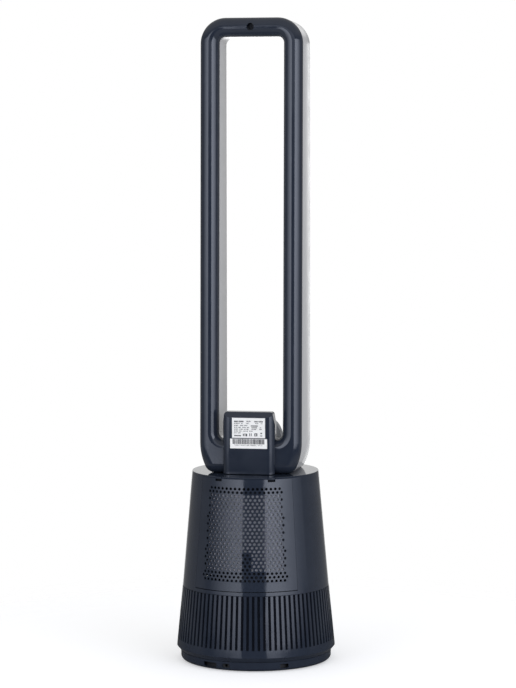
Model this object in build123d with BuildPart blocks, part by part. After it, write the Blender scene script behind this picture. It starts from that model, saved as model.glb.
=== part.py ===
"""Bladeless tower fan on an oscillating base, built piece by piece.

Millimetres, +Z up. The origin is the middle of the footprint, on the floor.
The fan blows towards -Y, and the removable filter cover faces +Y.
"""
import os
from math import cos, degrees, floor, pi, radians, sin, tan

from build123d import *

os.makedirs("parts", exist_ok=True)

# ---------------------------------------------------------------- overall
total_height = 960.0
deck_top = 286.0
wall = 2.5
cut_margin = 5.0

# ---------------------------------------------------------------- clearances
part_gap = 0.3
swivel_gap = 0.6
running_fit = 0.06
screw_fit = 0.2

# ---------------------------------------------------------------- fasteners
small_screw_radius = 1.5
small_head_radius = 3.0
small_head_height = 1.8
floor_screw_radius = 1.6
floor_head_radius = 2.8
gear_screw_count = 4
hub_screw_count = 3
hub_screw_grip = 10.0
floor_screw_count = 6

# ---------------------------------------------------------------- plinth
foot_height = 1.0
foot_radius = 9.0
foot_inset = 20.0
foot_count = 5
plinth_radius = 113.0
plinth_top = 14.6
plinth_edge_radius = 6.0
plinth_floor = 3.0
hub_radius = 20.0
hub_bore_radius = 12.0
hub_top = 34.0
gear_seat_radius = 33.0
gear_seat_height = 3.2
slide_rib_gap = 2.0
slide_rib_width = 5.0
slide_rib_top = 16.0
slide_ring_thickness = 1.6
slide_ring_overhang = 1.5
ballast_gap = 2.5
ballast_width = 10.0
ballast_thickness = 6.0
notch_depth = 6.0
notch_corner = 2.0
notch_ballast_gap = 2.0
long_notch_angle = -27.0
long_notch_width = 24.0
long_notch_bottom = 4.0
long_notch_top = 11.5
short_notch_angle = 32.0
short_notch_width = 13.5
short_notch_bottom = 5.0
short_notch_top = 11.5
cord_exit_angle = -13.0
cord_exit_width = 12.5
cord_exit_height = 6.0
cord_exit_centre = 8.6
cord_radius = 2.2
gland_length = 14.0
gland_flange = 1.2

# ---------------------------------------------------------------- swing drive
gear_module = 1.5
ring_gear_teeth = 56
pinion_teeth = 14
gear_thickness = 6.0
tooth_share = 0.42
gear_clearance = 0.35
tooth_root_depth = 1.25
tooth_root_spread = 1.4
tooth_tip_spread = 0.5
gear_screw_circle = 28.0
swing_motor_radius = 21.0
swing_motor_height = 16.0
swing_motor_angle = 180.0
swing_shaft_radius = 3.0
swing_shaft_reach = 4.0
swing_lug_offset = 4.0
swing_lug_radius = 5.0
swing_lug_width = 8.0
swing_lug_thickness = 1.5
shaft_clearance = 1.0
retainer_outer = 26.0
retainer_thickness = 2.0

# ---------------------------------------------------------------- casing cone
rim_radius = 95.0
casing_slope = 0.0868
parting_height = 112.8
parting_groove = 0.8
parting_groove_depth = 1.2
ring_bottom = 22.0
ring_radius = 119.0
ring_undercut = 5.7
floor_thickness = 3.0
floor_ledge_width = 8.0
floor_ledge_thickness = 3.0

# intake slots, all round the lower ring
slot_count = 88
slot_width = 3.9
slot_foot = 11.2
screen_thickness = 0.8
screen_head = 1.0

# ---------------------------------------------------------------- rear cover
cover_half_angle = 44.5
cover_wall = 1.8
cover_sill = 6.2
cover_foot_gap = 1.1
hole_diameter = 4.0
hole_pitch = 6.68
hole_row_pitch = 5.38
hole_top_drop = 16.75
hole_bottom_border = 15.5
hole_field_half_width = 56.75
hole_field_growth = 0.434
latch_angle = 24.6
latch_width = 10.6
latch_slot_drop = 3.3
latch_slot_height = 3.3
latch_proud = 0.5
latch_depth = 4.6
latch_arm_thickness = 2.0
latch_arm_length = 17.0
latch_arm_inset = 1.0
latch_side_gap = 0.4

# ---------------------------------------------------------------- filter
filter_half_angle = 35.5
filter_rise = 25.2
filter_drop = 20.8
filter_thickness = 14.0
filter_frame_border = 4.0
pleat_count = 46
pleat_depth = 5.0
pull_tab_width = 14.5
pull_tab_height = 28.0
pull_tab_rise = 0.5
pull_tab_angle = 2.9
pull_tab_thickness = 0.7
pull_tab_inset = 0.2

# ---------------------------------------------------------------- deck
deck_thickness = 2.5
deck_spigot_height = 4.0
deck_spigot_thickness = 2.0
latch_notch_clearance = 0.5
deck_edge_chamfer = 0.5

# ---------------------------------------------------------------- air engine
post_circle = 72.0
post_radius = 5.0
post_count = 4
mount_height = 8.0
mount_radius = 7.0
housing_bore = 58.0
housing_wall = 2.5
housing_bottom = 122.0
housing_top = 214.0
housing_flange_radius = 80.0
housing_flange_thickness = 3.0
bell_radius = 66.0
bell_throat = 51.0
bell_height = 14.0
bell_rim = 2.0
bell_step = 2.5
bell_lip = 1.5
bell_curve_in = 3.5
bell_curve_drop = 10.5
bell_curve_out = 2.0
bell_curve_up = 1.0
impeller_clearance = 1.0
impeller_bottom = 126.0
impeller_top = 162.0
impeller_hub_bottom_radius = 16.0
impeller_hub_top_radius = 38.0
impeller_blades = 11
blade_thickness = 1.6
blade_sweep = 38.0
blade_root_inset = 4.0
blade_tip_excess = 3.0
blade_bend = 0.28
shoulder_rise = 14.0
hub_curve_out = 7.0
hub_curve_rise = 0.62
motor_shaft_radius = 3.0
motor_shaft_top = 205.0
bucket_radius = 42.0
bucket_bottom = 167.0
bucket_top = 208.0
cap_rise = 22.0
cap_crown_radius = 8.0
cap_curve_reach = 0.8
cap_curve_rise = 0.6
vane_count = 9
vane_thickness = 1.8
motor_radius = 30.0
motor_height = 30.0
bearing_radius = 8.0
bearing_height = 5.0
collar_length = 66.0
collar_width = 40.0
collar_corner = 10.0
collar_top = 296.0
duct_shoulder = 264.0
duct_flange = 5.0
duct_flange_thickness = 2.0
gasket_width = 4.0

# ---------------------------------------------------------------- electronics
board_thickness = 1.6
power_board_length = 62.0
power_board_width = 38.0
power_board_centre = -62.0
board_part_reach = 14.0
transformer_length = 20.0
transformer_width = 18.0
capacitor_pitch = 12.0
capacitor_radius = 5.0
board_part_height = 16.0
power_board_height = 32.0
control_board_length = 42.0
control_board_height = 18.0
standoff_radius = 3.0
standoff_inset = 4.0
control_board_margin = 2.0
control_post_radius = 1.8

# ---------------------------------------------------------------- loop
loop_width = 153.4
leg_width = 28.3
opening_bottom = 337.0
loop_top_radius = 38.0
opening_radius = 9.0
loop_lower_radius = 86.0
loop_toe_radius = 16.0
loop_lower_turn = 25.0
loop_lean = 1.85
seam_at_deck = 38.0
rear_shell_depth = 15.0
rear_shell_round = 14.0
shell_wall = 2.2
front_at_deck = -46.0
front_lean = 0.5
front_round = 6.0
opening_flare = 1.75
air_slot = 1.8
air_slot_bite = 0.4
guide_wall = 1.6
guide_depth = 24.0
guide_foot = 1.1
loop_screw_drop = 14.15
loop_screw_recess_radius = 5.6
loop_screw_boss_wall = 1.6
loop_screw_head_radius = 4.4
loop_screw_head_height = 2.6
loop_screw_shank_radius = 1.9
loop_screw_length = 20.0
loop_screw_seat = 3.0
loop_screw_end_gap = 1.0
driver_recess_length = 5.0
driver_recess_width = 1.0

# ---------------------------------------------------------------- neck cover
neck_width = 78.0
neck_top = 379.0
neck_rear = 61.5
neck_edge_radius = 10.5
neck_bevel = 7.5
neck_top_corner = 4.5
neck_shoulder_drop = 18.0
neck_shoulder_in = 2.2
neck_front_step = 2.0
neck_wall = 2.4
neck_foot_gap = 1.0
rating_plate_width = 49.6
rating_plate_height = 29.7
rating_plate_bottom = 341.0
code_plate_width = 55.5
code_plate_height = 14.5
code_plate_bottom = 325.2
plate_thickness = 0.4
plate_offset = -1.0

# ---------------------------------------------------------------- control pod
pod_radius = 35.5
pod_centre = 330.0
pod_depth = 18.0
pod_front_inset = 3.0
display_width = 36.0
display_height = 8.0
display_thickness = 1.5
display_centre = 353.5
display_corner = 3.0
display_fit = 0.1
display_ledge = 2.0
display_opening_corner = 1.0
button_radius = 3.6
button_centre = 342.2
button_spacing = 13.0
button_proud = 1.0
button_length = 6.0
button_travel = 0.8
button_gap = 0.25

# ---------------------------------------------------------------- worked out
plinth_floor_top = foot_height + plinth_floor
foot_circle = plinth_radius - foot_inset
ballast_outer = plinth_radius - wall - plinth_floor - ballast_gap
ballast_inner = ballast_outer - ballast_width
slide_rib_outer = ballast_inner - slide_rib_gap
gear_seat_top = plinth_floor_top + gear_seat_height
ring_gear_pitch_radius = gear_module * ring_gear_teeth / 2
pinion_pitch_radius = gear_module * pinion_teeth / 2
drive_spacing = ring_gear_pitch_radius + pinion_pitch_radius
slide_ring_top = slide_rib_top + slide_ring_thickness
floor_bottom = slide_ring_top + part_gap
floor_top = floor_bottom + floor_thickness
ring_foot = plinth_top + swivel_gap
casing_top = deck_top - deck_thickness
ring_undercut_radius = ring_radius - ring_undercut
slot_bottom = ring_bottom + slot_foot
slot_top = parting_height - parting_groove
cover_bottom = parting_height + cover_sill
hole_top_row = deck_top - hole_top_drop
hole_rows = 1 + floor((hole_top_row - cover_bottom - hole_bottom_border) / hole_row_pitch)
filter_bottom = cover_bottom + filter_rise
filter_top = deck_top - filter_drop
latch_slot_top = deck_top - latch_slot_drop
latch_slot_bottom = latch_slot_top - latch_slot_height
hub_screw_circle = (hub_radius + hub_bore_radius) / 2
floor_screw_circle = ring_undercut_radius - wall - part_gap - floor_ledge_width / 2
filter_pad_recess = pull_tab_inset + pull_tab_thickness + part_gap
loop_half_width = loop_width / 2
opening_half_width = loop_half_width - leg_width
opening_top = total_height - leg_width
post_top = housing_top - housing_flange_thickness - mount_height


def casing_radius(height):
    """Outer radius of the casing and the rear cover at a height."""
    return rim_radius + (deck_top - height) * casing_slope


def ring_outer_radius(height):
    """Outer radius of the slotted ring at a height."""
    top_radius = casing_radius(parting_height)
    share = (height - ring_bottom) / (parting_height - ring_bottom)
    return ring_radius + (top_radius - ring_radius) * share


def around(angle, radius, height=0.0):
    """Point at an angle from the rear, measured towards -X."""
    return (-radius * sin(radians(angle)), radius * cos(radians(angle)), height)


def radial_plane(angle):
    """Upright plane through the axis, reaching out at an angle from the rear."""
    out = around(angle, 1.0)
    return Plane(origin=(0, 0, 0), x_dir=out, z_dir=(out[1], -out[0], 0))


def facing_plane(angle, radius, height):
    """Plane that faces outwards at an angle from the rear."""
    out = around(angle, 1.0)
    return Plane(origin=around(angle, radius, height), x_dir=(-out[1], out[0], 0), z_dir=out)


def save(piece, name):
    """Name a finished piece and write it."""
    piece.part.label = name
    export_step(piece.part, "parts/" + name + ".step", write_pcurves=False)


def turned(points, start=0.0, arc=360.0):
    """Turn an (r, z) outline about the axis, from a start angle."""
    with BuildPart() as piece:
        with BuildSketch(radial_plane(start)):
            with BuildLine():
                Polyline(*points, close=True)
            make_face()
        revolve(axis=Axis.Z, revolution_arc=arc)
    return piece.part


# ================================================================ plinth
def make_base_plate():
    rib_inner = slide_rib_outer - slide_rib_width
    inner = plinth_radius - wall
    with BuildPart() as base_plate:
        with BuildSketch(Plane.XZ):
            with BuildLine():
                edge = foot_height + plinth_edge_radius
                Line((0, foot_height), (plinth_radius - plinth_edge_radius, foot_height))
                RadiusArc(
                    (plinth_radius - plinth_edge_radius, foot_height),
                    (plinth_radius, edge),
                    -plinth_edge_radius,
                )
                Polyline(
                    (plinth_radius, edge),
                    (plinth_radius, plinth_top),
                    (inner, plinth_top),
                    (inner, edge),
                    (inner - plinth_floor, plinth_floor_top),
                    (slide_rib_outer, plinth_floor_top),
                    (slide_rib_outer, slide_rib_top),
                    (rib_inner, slide_rib_top),
                    (rib_inner, plinth_floor_top),
                    (gear_seat_radius, plinth_floor_top),
                    (gear_seat_radius, gear_seat_top),
                    (hub_radius, gear_seat_top),
                    (hub_radius, hub_top),
                    (hub_bore_radius, hub_top),
                    (hub_bore_radius, plinth_floor_top),
                    (0, plinth_floor_top),
                    (0, foot_height),
                )
            make_face()
        revolve(axis=Axis.Z)
        for angle, width, low, high in (
            (long_notch_angle, long_notch_width, long_notch_bottom, long_notch_top),
            (short_notch_angle, short_notch_width, short_notch_bottom, short_notch_top),
        ):
            with BuildSketch(facing_plane(angle, plinth_radius - notch_depth, (low + high) / 2)):
                RectangleRounded(width, high - low, notch_corner)
            extrude(amount=notch_depth + cut_margin, mode=Mode.SUBTRACT)
        with BuildSketch(facing_plane(cord_exit_angle, plinth_radius - gland_length, cord_exit_centre)):
            SlotOverall(cord_exit_width, cord_exit_height)
        extrude(amount=gland_length + cut_margin, mode=Mode.SUBTRACT)
        with BuildSketch(Plane.XY.offset(hub_top - hub_screw_grip)):
            with PolarLocations(hub_screw_circle, hub_screw_count):
                Circle(small_screw_radius)
        extrude(amount=hub_screw_grip + cut_margin, mode=Mode.SUBTRACT)
        with BuildSketch(Plane.XY.offset(plinth_floor_top)):
            with PolarLocations(gear_screw_circle, gear_screw_count):
                Circle(small_screw_radius)
        extrude(amount=gear_seat_height + cut_margin, mode=Mode.SUBTRACT)
    save(base_plate, "base_plate")


def make_foot_pads():
    with BuildPart() as foot_pads:
        with BuildSketch():
            with PolarLocations(foot_circle, foot_count, start_angle=90):
                Circle(foot_radius)
        extrude(amount=foot_height)
    save(foot_pads, "foot_pads")


def make_ballast_ring():
    with BuildPart() as ballast_ring:
        with BuildSketch(Plane.XY.offset(plinth_floor_top)):
            Circle(ballast_outer)
            Circle(ballast_inner, mode=Mode.SUBTRACT)
        extrude(amount=ballast_thickness)
        with BuildSketch(facing_plane(cord_exit_angle, ballast_inner - cut_margin, cord_exit_centre)):
            Rectangle(cord_exit_width + 4 * part_gap, 2 * ballast_thickness)
        extrude(amount=ballast_outer, mode=Mode.SUBTRACT)
        for angle, width in ((long_notch_angle, long_notch_width), (short_notch_angle, short_notch_width)):
            reach = plinth_radius - notch_depth - notch_ballast_gap
            with BuildSketch(facing_plane(angle, reach, cord_exit_centre)):
                Rectangle(width + wall, 2 * ballast_thickness)
            extrude(amount=notch_depth + cut_margin, mode=Mode.SUBTRACT)
    save(ballast_ring, "ballast_ring")


def make_cord_gland():
    start = plinth_radius - gland_length
    with BuildPart() as cord_gland:
        with BuildSketch(facing_plane(cord_exit_angle, start, cord_exit_centre)):
            SlotOverall(cord_exit_width, cord_exit_height)
        extrude(amount=gland_length - notch_depth / 3)
        with BuildSketch(facing_plane(cord_exit_angle, start - gland_flange, cord_exit_centre)):
            SlotOverall(cord_exit_width - gland_flange, cord_exit_height - gland_flange)
        extrude(amount=gland_flange)
        with BuildSketch(facing_plane(cord_exit_angle, start - cut_margin, cord_exit_centre)):
            Circle(cord_radius)
        extrude(amount=2 * gland_length, mode=Mode.SUBTRACT)
    save(cord_gland, "cord_gland")


def make_slide_ring():
    low = slide_rib_top
    inner = slide_rib_outer - slide_rib_width - slide_ring_overhang
    outer = slide_rib_outer + slide_ring_overhang
    with BuildPart() as slide_ring:
        add(turned([(inner, low), (outer, low), (outer, slide_ring_top), (inner, slide_ring_top)]))
    save(slide_ring, "slide_ring")


# ================================================================ swing drive
def tooth_points(teeth, turn, centre=(0.0, 0.0)):
    """Outline of a spur gear as one closed run of points."""
    pitch_radius = gear_module * teeth / 2
    root = pitch_radius - tooth_root_depth * gear_module
    tip = pitch_radius + gear_module - gear_clearance / 2
    half = tooth_share * pi * gear_module / 2
    points = []
    for tooth in range(teeth):
        middle = radians(turn) + 2 * pi * tooth / teeth
        for radius, offset in (
            (root, -tooth_root_spread * half),
            (pitch_radius, -half),
            (tip, -tooth_tip_spread * half),
            (tip, tooth_tip_spread * half),
            (pitch_radius, half),
            (root, tooth_root_spread * half),
        ):
            angle = middle + offset / radius
            points.append((centre[0] + radius * cos(angle), centre[1] + radius * sin(angle)))
    return points


def make_ring_gear():
    with BuildPart() as ring_gear:
        with BuildSketch(Plane.XY.offset(gear_seat_top)):
            with BuildLine():
                Polyline(*tooth_points(ring_gear_teeth, swing_motor_angle), close=True)
            make_face()
            Circle(hub_radius + screw_fit, mode=Mode.SUBTRACT)
            with PolarLocations(gear_screw_circle, gear_screw_count):
                Circle(small_screw_radius, mode=Mode.SUBTRACT)
        extrude(amount=gear_thickness)
    save(ring_gear, "ring_gear")


def make_gear_screws():
    with BuildPart() as gear_screws:
        with BuildSketch(Plane.XY.offset(plinth_floor_top)):
            with PolarLocations(gear_screw_circle, gear_screw_count):
                Circle(small_screw_radius)
        extrude(amount=gear_seat_height + gear_thickness)
        with BuildSketch(Plane.XY.offset(gear_seat_top + gear_thickness)):
            with PolarLocations(gear_screw_circle, gear_screw_count):
                Circle(small_head_radius)
        extrude(amount=small_head_height)
    save(gear_screws, "gear_screws")


def swing_motor_place():
    """Where the swing motor stands, in plan."""
    turn = radians(swing_motor_angle)
    return (drive_spacing * cos(turn), drive_spacing * sin(turn))


def make_drive_pinion():
    place = swing_motor_place()
    half_tooth = 180.0 / pinion_teeth
    turn = swing_motor_angle + 180.0 + half_tooth
    with BuildPart() as drive_pinion:
        with BuildSketch(Plane.XY.offset(gear_seat_top)):
            with BuildLine():
                Polyline(*tooth_points(pinion_teeth, turn, place), close=True)
            make_face()
        extrude(amount=gear_thickness)
        with BuildSketch(Plane.XY.offset(gear_seat_top + gear_thickness)):
            with Locations(place):
                Circle(swing_shaft_radius)
        extrude(amount=floor_top + swing_shaft_reach - gear_seat_top - gear_thickness)
    save(drive_pinion, "drive_pinion")


def make_swing_motor():
    place = swing_motor_place()
    lug_centre = swing_motor_radius + swing_lug_offset
    with BuildPart() as swing_motor:
        with BuildSketch(Plane.XY.offset(floor_top)):
            with Locations(place):
                Circle(swing_motor_radius)
        extrude(amount=swing_motor_height)
        with BuildSketch(Plane.XY.offset(floor_top)):
            with Locations(place):
                Circle(swing_shaft_radius + running_fit)
        extrude(amount=swing_shaft_reach + part_gap, mode=Mode.SUBTRACT)
        with BuildSketch(Plane.XY.offset(floor_top)):
            with Locations(place):
                with Locations((0, lug_centre), (0, -lug_centre)):
                    Circle(swing_lug_radius)
                Rectangle(swing_lug_width, 2 * lug_centre)
                Circle(swing_motor_radius, mode=Mode.SUBTRACT)
        extrude(amount=swing_lug_thickness)
    save(swing_motor, "swing_motor")


def make_hub_retainer():
    with BuildPart() as hub_retainer:
        with BuildSketch(Plane.XY.offset(hub_top)):
            Circle(retainer_outer)
            Circle(hub_bore_radius, mode=Mode.SUBTRACT)
            with PolarLocations(hub_screw_circle, hub_screw_count):
                Circle(small_screw_radius, mode=Mode.SUBTRACT)
        extrude(amount=retainer_thickness)
    save(hub_retainer, "hub_retainer")


def make_hub_screws():
    with BuildPart() as hub_screws:
        with BuildSketch(Plane.XY.offset(hub_top - hub_screw_grip)):
            with PolarLocations(hub_screw_circle, hub_screw_count):
                Circle(small_screw_radius)
        extrude(amount=hub_screw_grip + retainer_thickness)
        with BuildSketch(Plane.XY.offset(hub_top + retainer_thickness)):
            with PolarLocations(hub_screw_circle, hub_screw_count):
                Circle(small_head_radius)
        extrude(amount=small_head_height)
    save(hub_screws, "hub_screws")


# ================================================================ turning base
def make_swivel_floor():
    edge = ring_undercut_radius - wall - part_gap
    collar_height = hub_top - part_gap
    with BuildPart() as swivel_floor:
        add(
            turned(
                [
                    (hub_radius + running_fit, floor_bottom),
                    (edge, floor_bottom),
                    (edge, floor_top),
                    (retainer_outer, floor_top),
                    (retainer_outer, collar_height),
                    (hub_radius + running_fit, collar_height),
                ]
            )
        )
        with BuildSketch(Plane.XY.offset(floor_bottom)):
            with Locations(swing_motor_place()):
                Circle(swing_shaft_radius + shaft_clearance)
            with PolarLocations(floor_screw_circle, floor_screw_count):
                Circle(floor_screw_radius)
        extrude(amount=floor_thickness, mode=Mode.SUBTRACT)
    save(swivel_floor, "swivel_floor")


def make_support_posts():
    with BuildPart() as support_posts:
        with BuildSketch(Plane.XY.offset(floor_top)):
            with PolarLocations(post_circle, post_count, start_angle=45):
                Circle(post_radius)
        extrude(amount=post_top - floor_top)
    save(support_posts, "support_posts")


def make_isolation_mounts():
    with BuildPart() as isolation_mounts:
        with BuildSketch(Plane.XY.offset(post_top)):
            with PolarLocations(post_circle, post_count, start_angle=45):
                Circle(mount_radius)
        extrude(amount=mount_height)
    save(isolation_mounts, "isolation_mounts")


def make_intake_ring():
    inner_foot = ring_undercut_radius - wall
    ledge_inner = inner_foot - floor_ledge_width
    ledge_top = floor_top + floor_ledge_thickness
    top_radius = casing_radius(parting_height)
    with BuildPart() as intake_ring:
        add(
            turned(
                [
                    (ring_undercut_radius, ring_foot),
                    (ring_radius, ring_bottom),
                    (ring_outer_radius(slot_top), slot_top),
                    (top_radius - parting_groove_depth, slot_top),
                    (top_radius - parting_groove_depth, parting_height),
                    (top_radius - wall, parting_height),
                    (ring_outer_radius(ledge_top) - wall, ledge_top),
                    (ledge_inner, ledge_top),
                    (ledge_inner, floor_top),
                    (inner_foot, floor_top),
                    (inner_foot, ring_foot),
                ]
            )
        )
        slot_height = slot_top - slot_bottom
        reach = ring_radius + cut_margin
        with BuildSketch(Plane.XY.offset(slot_bottom)):
            with PolarLocations(0, slot_count):
                with Locations(((reach + ledge_inner) / 2, 0)):
                    Rectangle(reach - ledge_inner, slot_width)
        extrude(amount=slot_height, mode=Mode.SUBTRACT)
        with BuildSketch(Plane.XY.offset(floor_top)):
            with PolarLocations(floor_screw_circle, floor_screw_count):
                Circle(floor_screw_radius)
        extrude(amount=floor_ledge_thickness, mode=Mode.SUBTRACT)
    save(intake_ring, "intake_ring")


def make_intake_screen():
    """Fine dust screen that stands on the ring's ledge, behind the slots."""
    low = floor_top + floor_ledge_thickness + part_gap
    high = parting_height - screen_head
    face_low = ring_outer_radius(low) - wall - part_gap
    face_high = ring_outer_radius(high) - wall - part_gap
    with BuildPart() as intake_screen:
        add(
            turned(
                [
                    (face_low, low),
                    (face_high, high),
                    (face_high - screen_thickness, high),
                    (face_low - screen_thickness, low),
                ]
            )
        )
    save(intake_screen, "intake_screen")


def make_floor_screws():
    with BuildPart() as floor_screws:
        with BuildSketch(Plane.XY.offset(floor_bottom)):
            with PolarLocations(floor_screw_circle, floor_screw_count):
                Circle(floor_screw_radius)
        extrude(amount=floor_thickness + floor_ledge_thickness)
        with BuildSketch(Plane.XY.offset(floor_top + floor_ledge_thickness)):
            with PolarLocations(floor_screw_circle, floor_screw_count):
                Circle(floor_head_radius)
        extrude(amount=small_head_height)
    save(floor_screws, "floor_screws")


def make_base_shell():
    """Casing above the ring: a full hoop below, open behind where the cover sits."""
    low = parting_height
    mid = cover_bottom - cover_foot_gap
    side = cover_half_angle + degrees(part_gap / rim_radius)
    with BuildPart() as base_shell:
        add(
            turned(
                [
                    (casing_radius(low), low),
                    (casing_radius(mid), mid),
                    (casing_radius(mid) - wall, mid),
                    (casing_radius(low) - wall, low),
                ]
            )
        )
        add(
            turned(
                [
                    (casing_radius(mid), mid),
                    (casing_radius(casing_top), casing_top),
                    (casing_radius(casing_top) - wall, casing_top),
                    (casing_radius(mid) - wall, mid),
                ],
                start=side,
                arc=360 - 2 * side,
            )
        )
    save(base_shell, "base_shell")


def hole_places():
    """Centres of the staggered holes as (angle, height), row by row."""
    places = []
    for row in range(hole_rows):
        height = hole_top_row - row * hole_row_pitch
        half_width = hole_field_half_width + row * hole_field_growth
        if row % 2 == 0:
            offsets = range(-floor(half_width / hole_pitch), floor(half_width / hole_pitch) + 1)
            steps = [float(step) for step in offsets]
        else:
            side_steps = floor(half_width / hole_pitch + 0.5)
            steps = [step + 0.5 for step in range(-side_steps, side_steps)]
        for step in steps:
            places.append((degrees(step * hole_pitch / casing_radius(height)), height))
    return places


def make_rear_cover():
    low = cover_bottom
    high = casing_top - part_gap
    lean = degrees(casing_slope)
    with BuildPart() as rear_cover:
        add(
            turned(
                [
                    (casing_radius(low), low),
                    (casing_radius(high), high),
                    (casing_radius(high) - cover_wall, high),
                    (casing_radius(low) - cover_wall, low),
                ],
                start=-cover_half_angle,
                arc=2 * cover_half_angle,
            )
        )
        for side in (-1, 1):
            slot_height = high + cut_margin - latch_slot_bottom
            middle = latch_slot_bottom + slot_height / 2
            with BuildSketch(facing_plane(side * latch_angle, rim_radius - 2 * cut_margin, middle)):
                Rectangle(latch_width + 2 * latch_side_gap, slot_height)
            extrude(amount=4 * cut_margin, mode=Mode.SUBTRACT)
        spots = []
        for angle, height in hole_places():
            plane = facing_plane(angle, casing_radius(height) - cover_wall / 2, height)
            spots.append(plane.location * Location((0, 0, 0), (-lean, 0, 0)))
        with Locations(*spots):
            Cylinder(hole_diameter / 2, 2 * cut_margin, mode=Mode.SUBTRACT)
    save(rear_cover, "rear_cover")


def make_cover_latches():
    """Two sprung tabs at the top edge of the rear cover."""
    for side, name in ((-1, "cover_latch_left"), (1, "cover_latch_right")):
        face = rim_radius + latch_proud
        back = face - latch_depth
        arm_face = casing_radius(casing_top) - wall - part_gap
        with BuildPart() as cover_latch:
            height = deck_top - latch_slot_top
            with BuildSketch(facing_plane(side * latch_angle, back, latch_slot_top + height / 2)):
                Rectangle(latch_width, height)
            extrude(amount=latch_depth)
            arm_back = arm_face - latch_arm_thickness
            arm_middle = deck_top - latch_arm_length / 2
            with BuildSketch(facing_plane(side * latch_angle, arm_back, arm_middle)):
                Rectangle(latch_width - 2 * latch_arm_inset, latch_arm_length)
            extrude(amount=latch_arm_thickness)
        save(cover_latch, name)


# ================================================================ filter
def filter_face(height):
    """Outer radius of the filter, just inside the rear cover."""
    return casing_radius(height) - cover_wall - part_gap


def make_filter_frame():
    low = filter_bottom
    high = filter_top
    border = filter_frame_border
    with BuildPart() as filter_frame:
        add(
            turned(
                [
                    (filter_face(low), low),
                    (filter_face(high), high),
                    (filter_face(high) - filter_thickness, high),
                    (filter_face(low) - filter_thickness, low),
                ],
                start=-filter_half_angle,
                arc=2 * filter_half_angle,
            )
        )
        side = filter_half_angle - degrees(border / casing_radius(low))
        low_in = low + border
        high_in = high - border
        add(
            turned(
                [
                    (filter_face(low_in) + cut_margin, low_in),
                    (filter_face(high_in) + cut_margin, high_in),
                    (filter_face(high_in) - filter_thickness - cut_margin, high_in),
                    (filter_face(low_in) - filter_thickness - cut_margin, low_in),
                ],
                start=-side,
                arc=2 * side,
            ),
            mode=Mode.SUBTRACT,
        )
    save(filter_frame, "filter_frame")


def pleated_outline(height):
    """Section of the pleated pad at a height: smooth outside, folded inside."""
    side = filter_half_angle - degrees(filter_frame_border / casing_radius(filter_bottom))
    face = filter_face(height) - filter_pad_recess
    back = filter_face(height) - filter_thickness + filter_pad_recess
    steps = 2 * pleat_count
    folds = []
    for step in range(steps + 1):
        angle = -side + 2 * side * step / steps
        radius = back if step % 2 == 0 else back + pleat_depth
        folds.append(around(angle, radius)[:2])
    with BuildSketch(Plane.XY.offset(height)) as outline:
        with BuildLine():
            Polyline(*folds)
            Line(folds[-1], around(side, face)[:2])
            ThreePointArc(around(side, face)[:2], around(0, face)[:2], around(-side, face)[:2])
            Line(around(-side, face)[:2], folds[0])
        make_face()
    return outline.sketch


def make_filter_pad():
    """Pleated paper pad inside the frame."""
    with BuildPart() as filter_pad:
        add(pleated_outline(filter_bottom + filter_frame_border))
        add(pleated_outline(filter_top - filter_frame_border))
        loft(ruled=True)
    save(filter_pad, "filter_pad")


def make_pull_tab():
    low = filter_bottom + filter_frame_border + pull_tab_rise
    high = low + pull_tab_height
    half = degrees(pull_tab_width / 2 / casing_radius(low))
    inner = pull_tab_inset + pull_tab_thickness
    with BuildPart() as pull_tab:
        add(
            turned(
                [
                    (filter_face(low) - pull_tab_inset, low),
                    (filter_face(high) - pull_tab_inset, high),
                    (filter_face(high) - inner, high),
                    (filter_face(low) - inner, low),
                ],
                start=pull_tab_angle - half,
                arc=2 * half,
            )
        )
    save(pull_tab, "filter_pull_tab")


# ================================================================ deck
def make_top_deck():
    with BuildPart() as top_deck:
        with BuildSketch(Plane.XY.offset(casing_top)):
            Circle(rim_radius)
            RectangleRounded(
                collar_length + 2 * part_gap,
                collar_width + 2 * part_gap,
                collar_corner + part_gap,
                mode=Mode.SUBTRACT,
            )
        extrude(amount=deck_thickness)
        spigot_outer = casing_radius(casing_top) - wall - latch_arm_thickness - 3 * part_gap
        with BuildSketch(Plane.XY.offset(casing_top - deck_spigot_height)):
            Circle(spigot_outer)
            Circle(spigot_outer - deck_spigot_thickness, mode=Mode.SUBTRACT)
        extrude(amount=deck_spigot_height)
        for side in (-1, 1):
            depth = latch_depth + latch_notch_clearance
            with BuildSketch(facing_plane(side * latch_angle, rim_radius - depth, deck_top)):
                Rectangle(latch_width + 2 * latch_side_gap, 2 * cut_margin)
            extrude(amount=depth + cut_margin, mode=Mode.SUBTRACT)
        chamfer(top_deck.edges().filter_by(GeomType.CIRCLE).group_by(Axis.Z)[-1], deck_edge_chamfer)
    save(top_deck, "top_deck")


# ================================================================ air engine
def make_fan_housing():
    outer = housing_bore + housing_wall
    flange_bottom = housing_top - housing_flange_thickness
    with BuildPart() as fan_housing:
        add(
            turned(
                [
                    (housing_bore, housing_bottom),
                    (outer, housing_bottom),
                    (outer, flange_bottom),
                    (housing_flange_radius, flange_bottom),
                    (housing_flange_radius, housing_top),
                    (housing_bore, housing_top),
                ]
            )
        )
    save(fan_housing, "fan_housing")


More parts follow.
